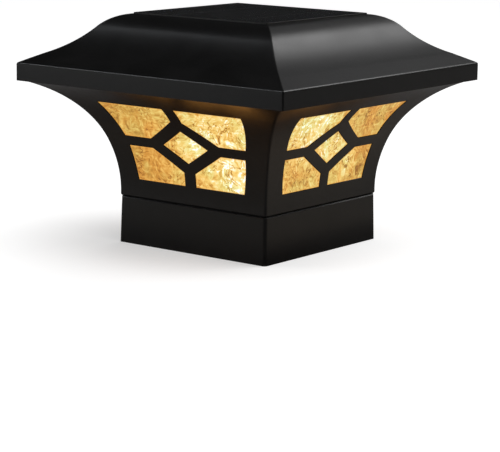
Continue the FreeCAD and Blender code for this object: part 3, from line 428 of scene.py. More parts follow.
@dataclass(frozen=True)
class GlassPattern:
    """Figure of rolled glass. A share is how far a noise moves the tone, a range where it takes hold."""

    bend_scale: float = 75.0
    bend: float = 13.0 * MM
    crumple_scale: float = 230.0
    crumple_share: float = 0.34
    # painted light on one side of each crumpled ridge
    ridge_light_scale: float = 200.0
    ridge_light_step: tuple[float, float, float] = (0.45 * MM, 0.35 * MM, 0.0)
    ridge_light_share: float = 0.62
    crease_scale: float = 150.0
    crease_width: float = 0.028
    patch_scale: float = 95.0
    patch_range: Pair = (0.43, 0.58)
    fleck_scale: float = 280.0
    fleck_range: Pair = (0.54, 0.62)
    streak_tilt: float = math.radians(32.0)
    streak_scale: tuple[float, float, float] = (60.0, 760.0, 60.0)
    streak_share: float = 0.20
    drift_scale: float = 34.0
    drift_share: float = 0.24
    middle_tone: float = 0.39
    hue_scale: float = 62.0
    hue_range: Pair = (0.36, 0.64)

    def fill(self, graph: Graph, source: dict) -> dict:
        """Crumpled ridges with painted light on one side, short dark creases, pale flecks and long fine
        streaks.

        Args:
            graph: The group's graph.
            source: The group's inputs.

        Returns:
            The group's outputs.
        """
        x, y, z = graph.add("ShaderNodeSeparateXYZ", {0: source["Place"]}).outputs
        flat = graph.add("ShaderNodeCombineXYZ", {0: graph.math("ADD", x, y), 1: z, 2: y}).outputs[0]
        bend = {"Vector": flat, "Scale": self.bend_scale, "Detail": 2.0}
        pushed = {0: graph.add("ShaderNodeTexNoise", bend).outputs[1], 3: self.bend}
        push = graph.add("ShaderNodeVectorMath", pushed, operation="SCALE").outputs[0]
        bent = graph.vectors("ADD", flat, push)
        crumple = graph.noise(bent, self.crumple_scale, 5.0, 1.1)
        # painted side light: a noise shifted one way minus the same noise shifted the other way
        ahead, behind = (graph.noise(graph.vectors(way, bent, self.ridge_light_step), self.ridge_light_scale, 3.0, 0.8)
                         for way in ("ADD", "SUBTRACT"))
        ridge = graph.math("SUBTRACT", graph.noise(bent, self.crease_scale, 4.0, 0.8), 0.5)
        crack = graph.span(graph.math("ABSOLUTE", ridge), 0.0, self.crease_width, 1.0, 0.0)
        patch = graph.span(graph.noise(flat, self.patch_scale, 2.0), *self.patch_range)
        turn = {0: flat, 2: (0.0, 0.0, self.streak_tilt), 3: self.streak_scale}
        streak = graph.noise(graph.add("ShaderNodeMapping", turn).outputs[0], 1.0, 2.0, 0.3)
        tone = graph.math("MULTIPLY", streak, self.streak_share)
        for noise, share in ((crumple, self.crumple_share),
                             (graph.noise(flat, self.drift_scale, 2.0), self.drift_share),
                             (graph.math("SUBTRACT", ahead, behind), self.ridge_light_share)):
            tone = graph.math("MULTIPLY_ADD", noise, share, tone)
        return {"Tone": graph.math("SUBTRACT", tone, self.middle_tone),
                "Crease": graph.math("MULTIPLY", crack, patch),
                "Fleck": graph.span(graph.noise(bent, self.fleck_scale, 3.0, 1.4), *self.fleck_range),
                "Hue": graph.span(graph.noise(bent, self.hue_scale, 3.0, 0.6), *self.hue_range),
                "Relief": crumple}


class Effects:
    """The groups that several finishes share."""

    def __init__(self) -> None:
        """Build every group."""
        value, colour, vector = SocketKind.VALUE, SocketKind.COLOUR, SocketKind.VECTOR
        place = {"Place": vector}
        grain = {"Depth": value, "Shiny": value, "Dull": value, "Dark": colour, "Light": colour}
        surface = {"Colour": colour, "Roughness": value, "Normal": vector}
        figure = {name: value for name in ("Tone", "Crease", "Fleck", "Hue", "Relief")}
        self.moulding = Effect("moulded_grain", place | grain, surface, MouldPattern().fill)
        self.dust = Effect("settled_dust", place | {"Amount": value}, {"Mask": value}, DustPattern().fill)
        self.glass = Effect("rolled_glass", place, figure, GlassPattern().fill)


# ------------------------------------------------------------------ finishes


class Finish:
    """A material's name and how its nodes are made."""

    name: str

    def material(self, effects: Effects) -> bpy.types.Material:
        """Make the material.

        Args:
            effects: The shared shader groups.

        Returns:
            The material.
        """
        made = bpy.data.materials.new(self.name)
        made.use_nodes = True
        made.node_tree.nodes.clear()
        graph = Graph(made.node_tree)
        place = graph.add("ShaderNodeTexCoord").outputs["Object"]
        inputs = self.shade(graph, place, effects)
        shader = graph.add("ShaderNodeBsdfPrincipled", inputs).outputs[0]
        graph.add("ShaderNodeOutputMaterial", {"Surface": shader})
        return made

    def shade(self, graph: Graph, place: bpy.types.NodeSocket, effects: Effects) -> dict:
        """Make the nodes that feed the shader.

        Args:
            graph: The material's graph.
            place: The object's own coordinates.
            effects: The shared shader groups.

        Returns:
            The shader's inputs.
        """
        raise NotImplementedError


@dataclass(frozen=True)
class Moulded(Finish):
    """Injection-moulded plastic, paint or metal with a fine grain and a little dust."""

    name: str
    dark: Colour
    light: Colour
    shiny: float = 0.34
    dull: float = 0.46
    depth: float = 0.25
    dust: float = 0.25
    metallic: float = 0.0
    dust_colour: Colour = (0.35, 0.34, 0.32)

    def shade(self, graph: Graph, place: bpy.types.NodeSocket, effects: Effects) -> dict:
        """Grain and drifting shine under a thin dusting.

        Args:
            graph: The material's graph.
            place: The object's own coordinates.
            effects: The shared shader groups.

        Returns:
            The shader's inputs.
        """
        grain = effects.moulding.use(graph, Place=place, Depth=self.depth, Shiny=self.shiny, Dull=self.dull,
                                     Dark=self.dark, Light=self.light)
        dust = effects.dust.use(graph, Place=place, Amount=self.dust)
        colour = graph.mix(dust["Mask"], self.with_painted_glow(graph, place, grain["Colour"]), self.dust_colour)
        return {"Base Color": colour, "Roughness": grain["Roughness"], "Normal": grain["Normal"],
                "Metallic": self.metallic}

    def with_painted_glow(self, graph: Graph, place: bpy.types.NodeSocket, colour: bpy.types.NodeSocket) -> Value:
        """The grain's colour as it is, with no painted glow."""
        return colour


@dataclass(frozen=True)
class Housing(Moulded):
    """Satin black plastic, with a painted warm glow on the cove where the windows' light falls."""

    painted_window_glow: Colour = (0.0190, 0.0105, 0.0045)
    cove_foot: float = 30 * MM
    cove_lit: float = 70 * MM
    cove_dim: float = 84 * MM
    cove_head: float = 88 * MM

    def with_painted_glow(self, graph: Graph, place: bpy.types.NodeSocket, colour: bpy.types.NodeSocket) -> Value:
        """The grain's colour, with a painted warm glow from the windows between the cove's foot and head.

        Args:
            graph: The material's graph.
            place: The object's own coordinates.
            colour: The grain's colour.

        Returns:
            The new colour.
        """
        # painted glow: the windows' amber light is painted into the base colour, rising from cove_foot to
        # cove_lit and fading from cove_dim to cove_head
        height = graph.add("ShaderNodeSeparateXYZ", {0: place}).outputs[2]
        above = graph.span(height, self.cove_foot, self.cove_lit)
        below = graph.span(height, self.cove_dim, self.cove_head, 1.0, 0.0)
        return graph.mix(graph.math("MULTIPLY", above, below), colour, self.painted_window_glow)


@dataclass(frozen=True)
class RolledGlass(Finish):
    """Amber sheet whose glow from the light behind it is painted in as emission."""

    name: str
    brown: Colour = (0.28, 0.12, 0.022)
    amber: Colour = (0.58, 0.31, 0.062)
    gold: Colour = (0.79, 0.56, 0.165)
    pale: Colour = (0.87, 0.74, 0.35)
    white: Colour = (1.05, 1.02, 0.93)
    stops: tuple[float, ...] = (0.0, 0.28, 0.55, 0.80, 1.0)
    # painted highlight: a bright orange line along the edges of the openings
    edge: Colour = (0.78, 0.36, 0.07)
    edge_highlight_share: float = 0.6
    spill: Colour = (0.80, 0.35, 0.078)
    far_tint: Colour = (1.0, 0.98, 0.96)
    lit_tint: Colour = (0.96, 1.05, 1.12)
    orange_cast: Colour = (1.05, 0.93, 0.82)
    yellow_cast: Colour = (0.95, 1.05, 1.06)
    tint_range: Pair = (0.35, 0.62)
    swing: Pair = (1.5, 2.2)
    swing_range: Pair = (0.25, 0.75)
    crease: Pair = (-0.46, -0.85)
    crease_range: Pair = (0.45, 0.80)
    fleck: Pair = (0.03, 0.55)
    fleck_range: Pair = (0.35, 0.85)
    unlit_share: float = 0.25
    relief: float = 0.35 * MM
    relief_strength: float = 0.45
    roughness: float = 0.2
    clearness: float = 0.2
    glow: float = 1.06

    def shade(self, graph: Graph, place: bpy.types.NodeSocket, effects: Effects) -> dict:
        """Brown in the creases, amber far from the painted light, gold and white near it, orange as a light,
        with a painted highlight along the openings' edges.

        Swing, crease and fleck are how far each moves the tone, far from the light and near it. A range
        says how far and how near.

        Args:
            graph: The material's graph.
            place: The object's own coordinates.
            effects: The shared shader groups.

        Returns:
            The shader's inputs.
        """
        glass = effects.glass.use(graph, Place=place)
        near = graph.attribute("near_light")
        tone = near
        for name, reach, amount in (("Tone", self.swing_range, self.swing),
                                    ("Crease", self.crease_range, self.crease),
                                    ("Fleck", self.fleck_range, self.fleck)):
            tone = graph.math("MULTIPLY_ADD", glass[name], graph.span(near, *reach, *amount), tone)
        tint = graph.mix(graph.span(near, *self.tint_range), self.far_tint, self.lit_tint)
        cast = graph.mix(glass["Hue"], self.orange_cast, self.yellow_cast)
        body = graph.vectors("MULTIPLY", self.ramp(graph, tone), graph.vectors("MULTIPLY", tint, cast))
        # painted edge highlight, mixed in where the rim mask is high
        colour = graph.mix(graph.math("MULTIPLY", graph.attribute("rim"), self.edge_highlight_share), body, self.edge)
        seen = graph.add("ShaderNodeLightPath").outputs["Is Camera Ray"]
        away = graph.mix(graph.attribute("cast_light"), BLACK, self.spill)
        bumped = {"Strength": self.relief_strength, "Distance": self.relief, "Height": glass["Relief"]}
        bump = graph.add("ShaderNodeBump", bumped)
        return {"Base Color": graph.mix(self.unlit_share, BLACK, colour), "Roughness": self.roughness,
                "Transmission Weight": self.clearness, "IOR": 1.5, "Normal": bump.outputs[0],
                "Emission Color": graph.mix(seen, away, colour), "Emission Strength": self.glow}

    def ramp(self, graph: Graph, tone: bpy.types.NodeSocket) -> bpy.types.NodeSocket:
        """Colour of each tone, from brown to white.

        Args:
            graph: The material's graph.
            tone: The tone, 0 to 1.

        Returns:
            The colour.
        """
        node = graph.add("ShaderNodeValToRGB", {0: tone})
        elements = node.color_ramp.elements
        for stop in self.stops[2:]:
            elements.new(stop)
        colours = (self.brown, self.amber, self.gold, self.pale, self.white)
        for element, stop, colour in zip(elements, self.stops, colours):
            element.position = stop
            element.color = (*colour, 1.0)
        return node.outputs[0]


@dataclass(frozen=True)
class Frosted(Finish):
    """Frosted plastic lit from within."""

    name: str
    colour: Colour
    glow: float
    dim: float = 0.8
    cloud_scale: float = 220.0

    def shade(self, graph: Graph, place: bpy.types.NodeSocket, effects: Effects) -> dict:
        """A milky surface, a little brighter in soft clouds.

        Args:
            graph: The material's graph.
            place: The object's own coordinates.
            effects: The shared shader groups; not used.

        Returns:
            The shader's inputs.
        """
        cloud = graph.spread(graph.noise(place, self.cloud_scale, 3.0))
        colour = graph.mix(cloud, tuple(self.dim * part for part in self.colour), self.colour)
        return {"Base Color": colour, "Roughness": 0.45, "Emission Color": colour,
                "Emission Strength": self.glow}


@dataclass(frozen=True)
class CellPrint(Finish):
    """Dark blue cell with fine printed fingers across it."""

    name: str
    pitch: float = 2.0 * MM
    finger_range: Pair = (0.42, 0.47)
    finger_share: float = 0.5
    crystal_scale: float = 260.0
    dark_blue: Colour = (0.006, 0.008, 0.017)
    light_blue: Colour = (0.012, 0.016, 0.034)
    silver: Colour = (0.10, 0.11, 0.13)

    def shade(self, graph: Graph, place: bpy.types.NodeSocket, effects: Effects) -> dict:
        """Fingers every pitch along Y, over a blue that drifts from crystal to crystal.

        Args:
            graph: The material's graph.
            place: The object's own coordinates.
            effects: The shared shader groups; not used.

        Returns:
            The shader's inputs.
        """
        along = graph.add("ShaderNodeSeparateXYZ", {0: place}).outputs[1]
        share = graph.math("FRACT", graph.math("DIVIDE", along, self.pitch))
        from_middle = graph.math("ABSOLUTE", graph.math("SUBTRACT", share, 0.5))
        finger = graph.math("MULTIPLY", graph.span(from_middle, *self.finger_range), self.finger_share)
        crystals = graph.add("ShaderNodeTexVoronoi", {"Vector": place, "Scale": self.crystal_scale})
        pick = graph.add("ShaderNodeSeparateColor", {0: crystals.outputs["Color"]}).outputs[0]
        blue = graph.mix(pick, self.dark_blue, self.light_blue)
        colour = graph.mix(finger, blue, self.silver)
        return {"Base Color": colour, "Roughness": 0.45, "Specular IOR Level": 0.25}


@dataclass(frozen=True)
class ClearSheet(Finish):
    """Clear cover with faint wipe marks."""

    name: str
    colour: Colour = (0.9, 0.92, 0.95)
    wipe_scale: float = 60.0
    roughness: Pair = (0.06, 0.16)

    def shade(self, graph: Graph, place: bpy.types.NodeSocket, effects: Effects) -> dict:
        """Clear plastic whose shine drifts a little."""
        drift = graph.spread(graph.noise(place, self.wipe_scale, 4.0, 1.0), *self.roughness)
        return {"Base Color": self.colour, "Roughness": drift, "Transmission Weight": 1.0, "IOR": 1.45}


FINISHES: tuple[Finish, ...] = (
    Housing("black_housing", (0.0062, 0.0061, 0.0062), (0.0092, 0.0090, 0.0090), shiny=0.32, dull=0.39,
            depth=0.16, dust=0.10, dust_colour=(0.30, 0.29, 0.28)),
    RolledGlass("amber_pane"),
    Moulded("white_plastic", (0.74, 0.72, 0.68), (0.82, 0.80, 0.77), shiny=0.4, dull=0.55, dust=0.05),
    Frosted("frosted_globe", (1.0, 0.74, 0.42), glow=1.5),
    CellPrint("solar_cell"),
    ClearSheet("clear_cover"),
    Moulded("panel_board", (0.010, 0.011, 0.014), (0.016, 0.017, 0.021), shiny=0.4, dull=0.6),
    Moulded("green_board", (0.015, 0.10, 0.035), (0.02, 0.14, 0.05), shiny=0.25, dull=0.4, depth=0.1),
    Moulded("chip_black", (0.012, 0.012, 0.012), (0.03, 0.03, 0.03), shiny=0.5, dull=0.7),
    Moulded("steel", (0.45, 0.45, 0.46), (0.6, 0.6, 0.61), shiny=0.25, dull=0.4, depth=0.1, dust=0.1,
            metallic=1.0),
    Moulded("contact_metal", (0.62, 0.6, 0.54), (0.75, 0.73, 0.66), shiny=0.2, dull=0.35, depth=0.1, dust=0.0,
            metallic=1.0),
    Moulded("solder_ribbon", (0.5, 0.5, 0.5), (0.7, 0.7, 0.7), shiny=0.3, dull=0.45, depth=0.1, dust=0.0,
            metallic=1.0),
    Moulded("gasket_foam", (0.012, 0.012, 0.012), (0.03, 0.03, 0.03), shiny=0.8, dull=0.95, depth=0.6),
    Moulded("battery_sleeve", (0.02, 0.12, 0.05), (0.03, 0.17, 0.07), shiny=0.22, dull=0.34, depth=0.05),
    Moulded("copper", (0.55, 0.24, 0.11), (0.75, 0.36, 0.18), shiny=0.25, dull=0.4, depth=0.3, dust=0.0,
            metallic=1.0),
    Frosted("led_yellow", (1.0, 0.80, 0.45), glow=2.0),
    Moulded("wire_red", (0.45, 0.02, 0.02), (0.6, 0.03, 0.03), shiny=0.35, dull=0.5, depth=0.1),
    Moulded("wire_black", (0.012, 0.012, 0.012), (0.02, 0.02, 0.02), shiny=0.35, dull=0.5, depth=0.1),
)


class Wardrobe:
    """The finishes as materials, and the slot of every node."""

    def __init__(self) -> None:
        """Make every material once."""
        effects = Effects()
        self.materials = {finish.name: finish.material(effects) for finish in FINISHES}
        self.slots = {part["node"]: part["material_slot"] for part in frame["record"]["subparts"]}

    def dress_nodes(self) -> None:
        """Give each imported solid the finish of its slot."""
        for name, node in frame["nodes"].items():
            node.data.materials.clear()
            node.data.materials.append(self.materials[self.slots[name]])

    def dress(self, piece: bpy.types.Object, slot: str, body: Body, nodes: Sequence[str]) -> None:
        """Give a new piece its finish, its body and the nodes that it stands for.

        Args:
            piece: The new object.
            slot: Name of the finish.
            body: What it moves with.
            nodes: Nodes that it stands for.
        """
        piece.data.materials.append(self.materials[slot])
        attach(piece, body.value)
        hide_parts(*nodes)
        LOG.info("%s: %d faces, rides on %s", piece.name, len(piece.data.polygons), body.value)


# ------------------------------------------------------------------ the lamp's forms


@dataclass(frozen=True)
class Cove:
    """The lantern's flared wall: upright foot, then two arcs that lean outwards."""

    foot_half: float = 48.73 * MM
    start: float = 27.92 * MM
    lower_r: float = 80.56 * MM
    lower_turn: float = math.radians(20.0)
    upper_r: float = 51.07 * MM

    @property
    def upper_centre(self) -> Pair:
        """Centre of the upper arc, which goes on from the lower one.

        Returns:
            Its half width and height.
        """
        joint_half = self.foot_half + self.lower_r * (1 - math.cos(self.lower_turn))
        height = self.start + (self.lower_r - self.upper_r) * math.sin(self.lower_turn)
        return joint_half + self.upper_r * math.cos(self.lower_turn), height

    def half(self, height: np.ndarray, depth: float = 0.0) -> np.ndarray:
        """Half width at a height: foot, then c - sqrt(r^2 - (z - cz)^2) on each arc.

        Args:
            height: Heights.
            depth: How far inside the outer face.

        Returns:
            Half widths.
        """
        centre_x, centre_z = self.upper_centre
        low = np.clip(height - self.start, 0, self.lower_r)
        high = np.clip(height - centre_z, 0, self.upper_r)
        lower = self.foot_half + self.lower_r - np.sqrt((self.lower_r + depth) ** 2 - low ** 2)
        upper = centre_x - np.sqrt((self.upper_r + depth) ** 2 - high ** 2)
        joint = centre_z + (self.upper_r + depth) * math.sin(self.lower_turn)
        return np.where(height >= joint, upper, lower)

    def height_at(self, half: float, depth: float = 0.0) -> float:
        """Height at which the upper arc reaches a half width."""
        centre_x, centre_z = self.upper_centre
        return centre_z + math.sqrt((self.upper_r + depth) ** 2 - (centre_x - half) ** 2)

    def profile(self, heights: np.ndarray, depth: float, radius: float) -> np.ndarray:
        """Rows of half width, height and corner radius at each height.

        Args:
            heights: Heights.
            depth: How far inside the outer face.
            radius: The corner radius.

        Returns:
            Rows, n by 3.
        """
        return np.stack([self.half(heights, depth), heights, np.full_like(heights, radius)], axis=-1)


@dataclass(frozen=True)
class Tracery:
    """Lead-light pattern of a side: four openings round a lozenge."""

    sill: float = 35.2 * MM
    head: float = 77.006 * MM
    half_at_sill: float = 35.1 * MM
    half_at_centre: float = 38.9 * MM
    half_at_head: float = 47.2 * MM
    lozenge_half_width: float = 14.6 * MM
    lozenge_half_height: float = 8.7 * MM
    diagonal_bar: float = 6.3 * MM
    upright_bar: float = 7.4 * MM
    cross_bar: float = 5.3 * MM

    @property
    def centre(self) -> float:
        """Height of the pattern's middle."""
        return (self.sill + self.head) / 2

    @property
    def slope(self) -> float:
        """Rise over run of the lozenge's sides."""
        return self.lozenge_half_height / self.lozenge_half_width

    def window(self, upper: bool) -> np.ndarray:
        """Corners of an opening on the +Y half, from the upright bar round to its diagonal.

        Args:
            upper: Whether it is above the cross bar.

        Returns:
            Five (across, height) corners.
        """
        up = 1 if upper else -1
        end = self.head if upper else self.sill
        end_half = self.half_at_head if upper else self.half_at_sill
        bar, cross = self.upright_bar / 2, self.cross_bar / 2
        outer = self.lozenge_half_width + self.diagonal_bar / math.sin(math.atan(self.slope))
        side = self.half_at_centre + (end_half - self.half_at_centre) * cross / abs(end - self.centre)
        return np.array([
            [bar, end], [end_half, end], [side, self.centre + up * cross],
            [outer - cross / self.slope, self.centre + up * cross],
            [bar, self.centre + up * (outer - bar) * self.slope],
        ])

    def lozenge(self) -> np.ndarray:
        """Corners of the middle opening, from the right round by the top.

        Returns:
            Four (across, height) corners.
        """
        wide, high = self.lozenge_half_width, self.lozenge_half_height
        corners = np.array([[wide, 0], [0, high], [-wide, 0], [0, -high]])
        return corners + [0, self.centre]

    def openings(self) -> list[np.ndarray]:
        """All five openings of a side.

        Returns:
            Corners of each opening.
        """
        found = [self.lozenge()]
        for upper in (True, False):
            corners = self.window(upper)
            found += [corners, corners * [-1, 1]]
        return found


def outward(corners: np.ndarray) -> np.ndarray:
    """Outward direction of each side of an outline, from a corner to the next.

    Args:
        corners: Corners in turn, n by 2.

    Returns:
        Unit vectors, n by 2.
    """
    following = np.roll(corners, -1, axis=0)
    ahead = following - corners
    ahead /= np.linalg.norm(ahead, axis=1)[:, None]
    twice_area = np.sum(corners[:, 0] * following[:, 1] - following[:, 0] * corners[:, 1])
    return np.stack([ahead[:, 1], -ahead[:, 0]], axis=-1) * np.sign(twice_area)


def grown(corners: np.ndarray, by: float) -> np.ndarray:
    """A convex outline with every side moved outwards: each corner goes to where the moved sides meet.

    Args:
        corners: Corners in turn, n by 2.
        by: How far each side moves.

    Returns:
        The new corners.
    """
    out = outward(corners)
    before = np.roll(out, 1, axis=0)
    meet = (out + before) / (1 + np.sum(out * before, axis=1))[:, None]
    return corners + meet * by


def outline_distance(across: np.ndarray, height: np.ndarray, corners: np.ndarray) -> np.ndarray:
    """Distance inside a convex outline, below 0 outside: the least distance to its sides' lines.

    Args:
        across: Places across.
        height: Places up.
        corners: The outline's corners.

    Returns:
        Distances.
    """
    apart = [(x - across) * nx + (z - height) * nz for (x, z), (nx, nz) in zip(corners, outward(corners))]
    return np.min(apart, axis=0)


def chords(corners: np.ndarray, heights: np.ndarray) -> tuple[np.ndarray, np.ndarray]:
    """Where level lines enter and leave a convex outline: least and greatest crossing with its sides.

    Args:
        corners: The outline's (across, height) corners.
        heights: Heights of the lines, within the outline.

    Returns:
        Left and right ends of the lines.
    """
    level, slack = 1e-9, 1e-6
    low, high = np.full(len(heights), np.inf), np.full(len(heights), -np.inf)
    for (x0, z0), (x1, z1) in zip(corners, np.roll(corners, -1, axis=0)):
        if abs(z1 - z0) < level:
            continue
        share = (heights - z0) / (z1 - z0)
        crossing = x0 + np.clip(share, 0, 1) * (x1 - x0)
        meets = (share > -slack) & (share < 1 + slack)
        low = np.where(meets, np.minimum(low, crossing), low)
        high = np.where(meets, np.maximum(high, crossing), high)
    return low, high


@dataclass(frozen=True)
class PaneOutline:
    """A pane seen square on: level edges, and sides that lean out evenly."""

    wide: float
    bottom: float
    top: float
    taper: float = 12.1 * MM

    @classmethod
    def read(cls, side: Side) -> "PaneOutline":
        """Take the outline from a side's packed pane."""
        low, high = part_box(f"pane_{side.node}")
        return cls(max(high.x - low.x, high.y - low.y) / 2, low.z, high.z)

    @property
    def narrow(self) -> float:
        """Half width at the bottom edge."""
        return self.wide - self.taper

    def half(self, height: float) -> float:
        """Half width at a height."""
        return self.narrow + self.taper * (height - self.bottom) / (self.top - self.bottom)

    def corners(self) -> np.ndarray:
        """Corners from the bottom left round by the right."""
        return np.array([[-self.narrow, self.bottom], [self.narrow, self.bottom],
                         [self.wide, self.top], [-self.wide, self.top]])


@dataclass
class LanternSides:
    """The four flared sides with their lead-light openings."""

    cove: Cove
    tracery: Tracery
    wardrobe: Wardrobe
    wall: float = 1.7 * MM
    edge_round: float = 0.35 * MM
    hip_round: float = 1.2 * MM
    inner_round: float = 0.4 * MM
    seam_chamfer: float = 0.8 * MM
    flange_wall: float = 2.2 * MM
    channel_wall: float = 1.1 * MM
    channel_lip: float = 1.8 * MM
    channel_lip_back: float = 4.8 * MM
    pane_gap: float = 0.3 * MM
    span_steps: int = 10
    bar_steps: int = 4
    round_steps: int = 3
    hip_steps: int = 4
    flare_steps: int = 12
    foot_steps: int = 8
    channel_steps: int = 16
    sharp_degrees: float = 30.0

    def __post_init__(self) -> None:
        """Read the levels from the frame."""
        low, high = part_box("lantern_right")
        self.foot = low.z
        self.top = high.z
        self.flange_half = high.x
        self.eave = self.cove.height_at(self.flange_half)

    def place(self, across: np.ndarray, height: np.ndarray, depth: float, sunk: float = 0.0) -> np.ndarray:
        """Points of the +X side: (half width at the height and depth - sunk, across, height)."""
        return np.stack([self.cove.half(height, depth) - sunk, across, height], axis=-1)

    def line(self, start: Sequence[float], end: Sequence[float], steps: int | None = None) -> np.ndarray:
        """Evenly spaced (across, height) points from one to another."""
        share = np.linspace(0, 1, (steps or self.span_steps) + 1)[:, None]
        return np.asarray(start) * (1 - share) + np.asarray(end) * share

    def hip(self, heights: np.ndarray, depth: float, round_off: float) -> np.ndarray:
        """(across, height) points where the flat of a side ends, by its rounded hip."""
        return np.stack([self.cove.half(heights, depth) - round_off, heights], axis=-1)

    def face(self, skin: Skin, quarters: int, depth: float, grow: float, round_off: float) -> None:
        """One face of the wall between sill and head: ruled bands between the openings.

        Args:
            skin: Takes the grids.
            quarters: Which side, in quarter turns.
            depth: How far inside the outer face.
            grow: How far the openings are widened, for their rounded edges.
            round_off: Radius of the hips here.
        """
        bars, spans = self.bar_steps, self.span_steps
        lozenge = grown(self.tracery.lozenge(), grow)
        side = lozenge[0]
        for upper in (True, False):
            end, far_end, far_side, near_side, point = grown(self.tracery.window(upper), grow)
            tip = lozenge[1] if upper else lozenge[3]
            middle = np.array([(far_side[0] * 2 + self.tracery.half_at_centre) / 3, self.tracery.centre])
            beside, between = self.line(far_side, far_end), self.line(middle, far_side, bars)
            bands = [
                (self.line(tip, side), self.line(point, near_side), bars),
                (self.line(tip, [0, end[1]]), self.line(point, end), bars),
                (self.line(side, middle), self.line(near_side, far_side), bars),
                (beside, self.hip(beside[:, 1], depth, round_off), spans),
                (between, self.hip(between[:, 1], depth, round_off), spans),
            ]
            for first, second, steps in bands:
                share = np.linspace(0, 1, steps + 1)[:, None, None]
                flat = first[None] * (1 - share) + second[None] * share
                for mirror in (1, -1):
                    skin.add(turned(self.place(mirror * flat[..., 0], flat[..., 1], depth), quarters))

    def reveals(self, skin: Skin, quarters: int) -> None:
        """Edges of the openings: a quarter round at the outer face, then straight in to the inner face.

        Args:
            skin: Takes the grids.
            quarters: Which side, in quarter turns.
        """
        rings = []
        for angle in np.linspace(0, QUARTER, self.round_steps + 1):
            grow, sunk = self.edge_round * (1 - math.sin(angle)), self.edge_round * (1 - math.cos(angle))
            rings.append((grow, sunk, 0.0))
        rings.append((0.0, 0.0, self.wall))
        for corners in self.tracery.openings():
            rows = []
            for grow, sunk, depth in rings:
                outline = grown(corners, grow)
                sides = zip(outline, np.roll(outline, -1, axis=0))
                path = np.vstack([self.line(start, end)[:-1] for start, end in sides])
                rows.append(turned(self.place(path[:, 0], path[:, 1], depth, sunk), quarters))
            skin.add(np.stack(rows), close_columns=True)

    def shares(self, height: float, depth: float, grow: float, round_off: float, upper: bool) -> np.ndarray:
        """Places across at a height where the bands end, as shares of the flat's half width.

        Args:
            height: The height.
            depth: How far inside the outer face.
            grow: How far the openings are widened.
            round_off: Radius of the hips here.
            upper: Whether the bands are above the cross bar.

        Returns:
            Shares from -1 to 1.
        """
        corners = grown(self.tracery.window(upper), grow)
        flat = float(self.cove.half(np.array(height), depth)) - round_off
        stops = [0.0, corners[0][0], corners[1][0], flat]
        steps = [self.bar_steps, self.span_steps, self.span_steps]
        spans = [np.linspace(a, b, n + 1)[:-1] for a, b, n in zip(stops, stops[1:], steps)]
        half = np.concatenate(spans + [[flat]])
        return np.concatenate([-half[:0:-1], half]) / flat

    def rails(self, skin: Skin, quarters: int) -> None:
        """The wall above the head and below the sill, carried round the flange and the foot.

        Rows run along the profile and columns across the side, at fixed shares of its half width.

        Args:
            skin: Takes the grids.
            quarters: Which side, in quarter turns.
        """
        grow, hip, inner = self.edge_round, self.hip_round, self.inner_round
        head, sill, cove = self.tracery.head, self.tracery.sill, self.cove
        flange_inner = self.flange_half - self.flange_wall
        rise_out = np.linspace(head + grow, self.eave, self.flare_steps + 1)
        rise_in = np.linspace(cove.height_at(flange_inner, self.wall), head, self.flare_steps + 1)
        flange = [(self.flange_half, self.eave + grow, hip), (self.flange_half, self.top - grow, hip),
                  (self.flange_half - grow, self.top, hip), (flange_inner, self.top, inner)]
        above = [cove.profile(rise_out, 0.0, hip), flange, cove.profile(rise_in, self.wall, inner)]
        fall_out = np.linspace(sill - grow, self.foot + self.seam_chamfer, self.foot_steps + 1)
        fall_in = np.linspace(self.foot, sill, self.foot_steps + 1)
        seam = [(cove.foot_half - self.seam_chamfer, self.foot, inner)]
        below = [cove.profile(fall_out, 0.0, hip), seam, cove.profile(fall_in, self.wall, inner)]
        for rows, upper in ((above, True), (below, False)):
            profile = np.vstack(rows)
            start = self.shares(profile[0, 1], 0.0, grow, hip, upper)
            end = self.shares(profile[-1, 1], self.wall, 0.0, inner, upper)
            blend = np.linspace(0, 1, len(profile))[:, None]
            half, height, radius = profile.T[:, :, None]
            across = (start * (1 - blend) + end * blend) * (half - radius)
            x, z = np.broadcast_to(half, across.shape), np.broadcast_to(height, across.shape)
            skin.add(turned(np.stack([x, across, z], axis=-1), quarters))
            self.corner(skin, quarters, profile)

    def corner(self, skin: Skin, quarters: int, profile: np.ndarray) -> None:
        """Rounded hip beside a side: a quarter circle in plan at each point of the profile.

        Args:
            skin: Takes the grid.
            quarters: Which side, in quarter turns.
            profile: Half width, height and radius at each point.
        """
        half, height, radius = profile.T[:, :, None]
        angle = np.linspace(0, QUARTER, self.hip_steps + 1)[None]
        x = half - radius + radius * np.cos(angle)
        y = half - radius + radius * np.sin(angle)
        skin.add(turned(np.stack([x, y, np.broadcast_to(height, x.shape)], axis=-1), quarters))

    def hips_between(self, skin: Skin, quarters: int) -> None:
        """Rounded hips beside the openings, at the heights where the bands end.

        Args:
            skin: Takes the grids.
            quarters: Which side, in quarter turns.
        """
        faces = ((0.0, self.edge_round, self.hip_round), (self.wall, 0.0, self.inner_round))
        for depth, grow, radius in faces:
            for upper in (True, False):
                _, far_end, far_side, _, _ = grown(self.tracery.window(upper), grow)
                heights = np.concatenate([
                    np.linspace(self.tracery.centre, far_side[1], self.bar_steps + 1),
                    np.linspace(far_side[1], far_end[1], self.span_steps + 1)[1:]])
                self.corner(skin, quarters, self.cove.profile(heights, depth, radius))

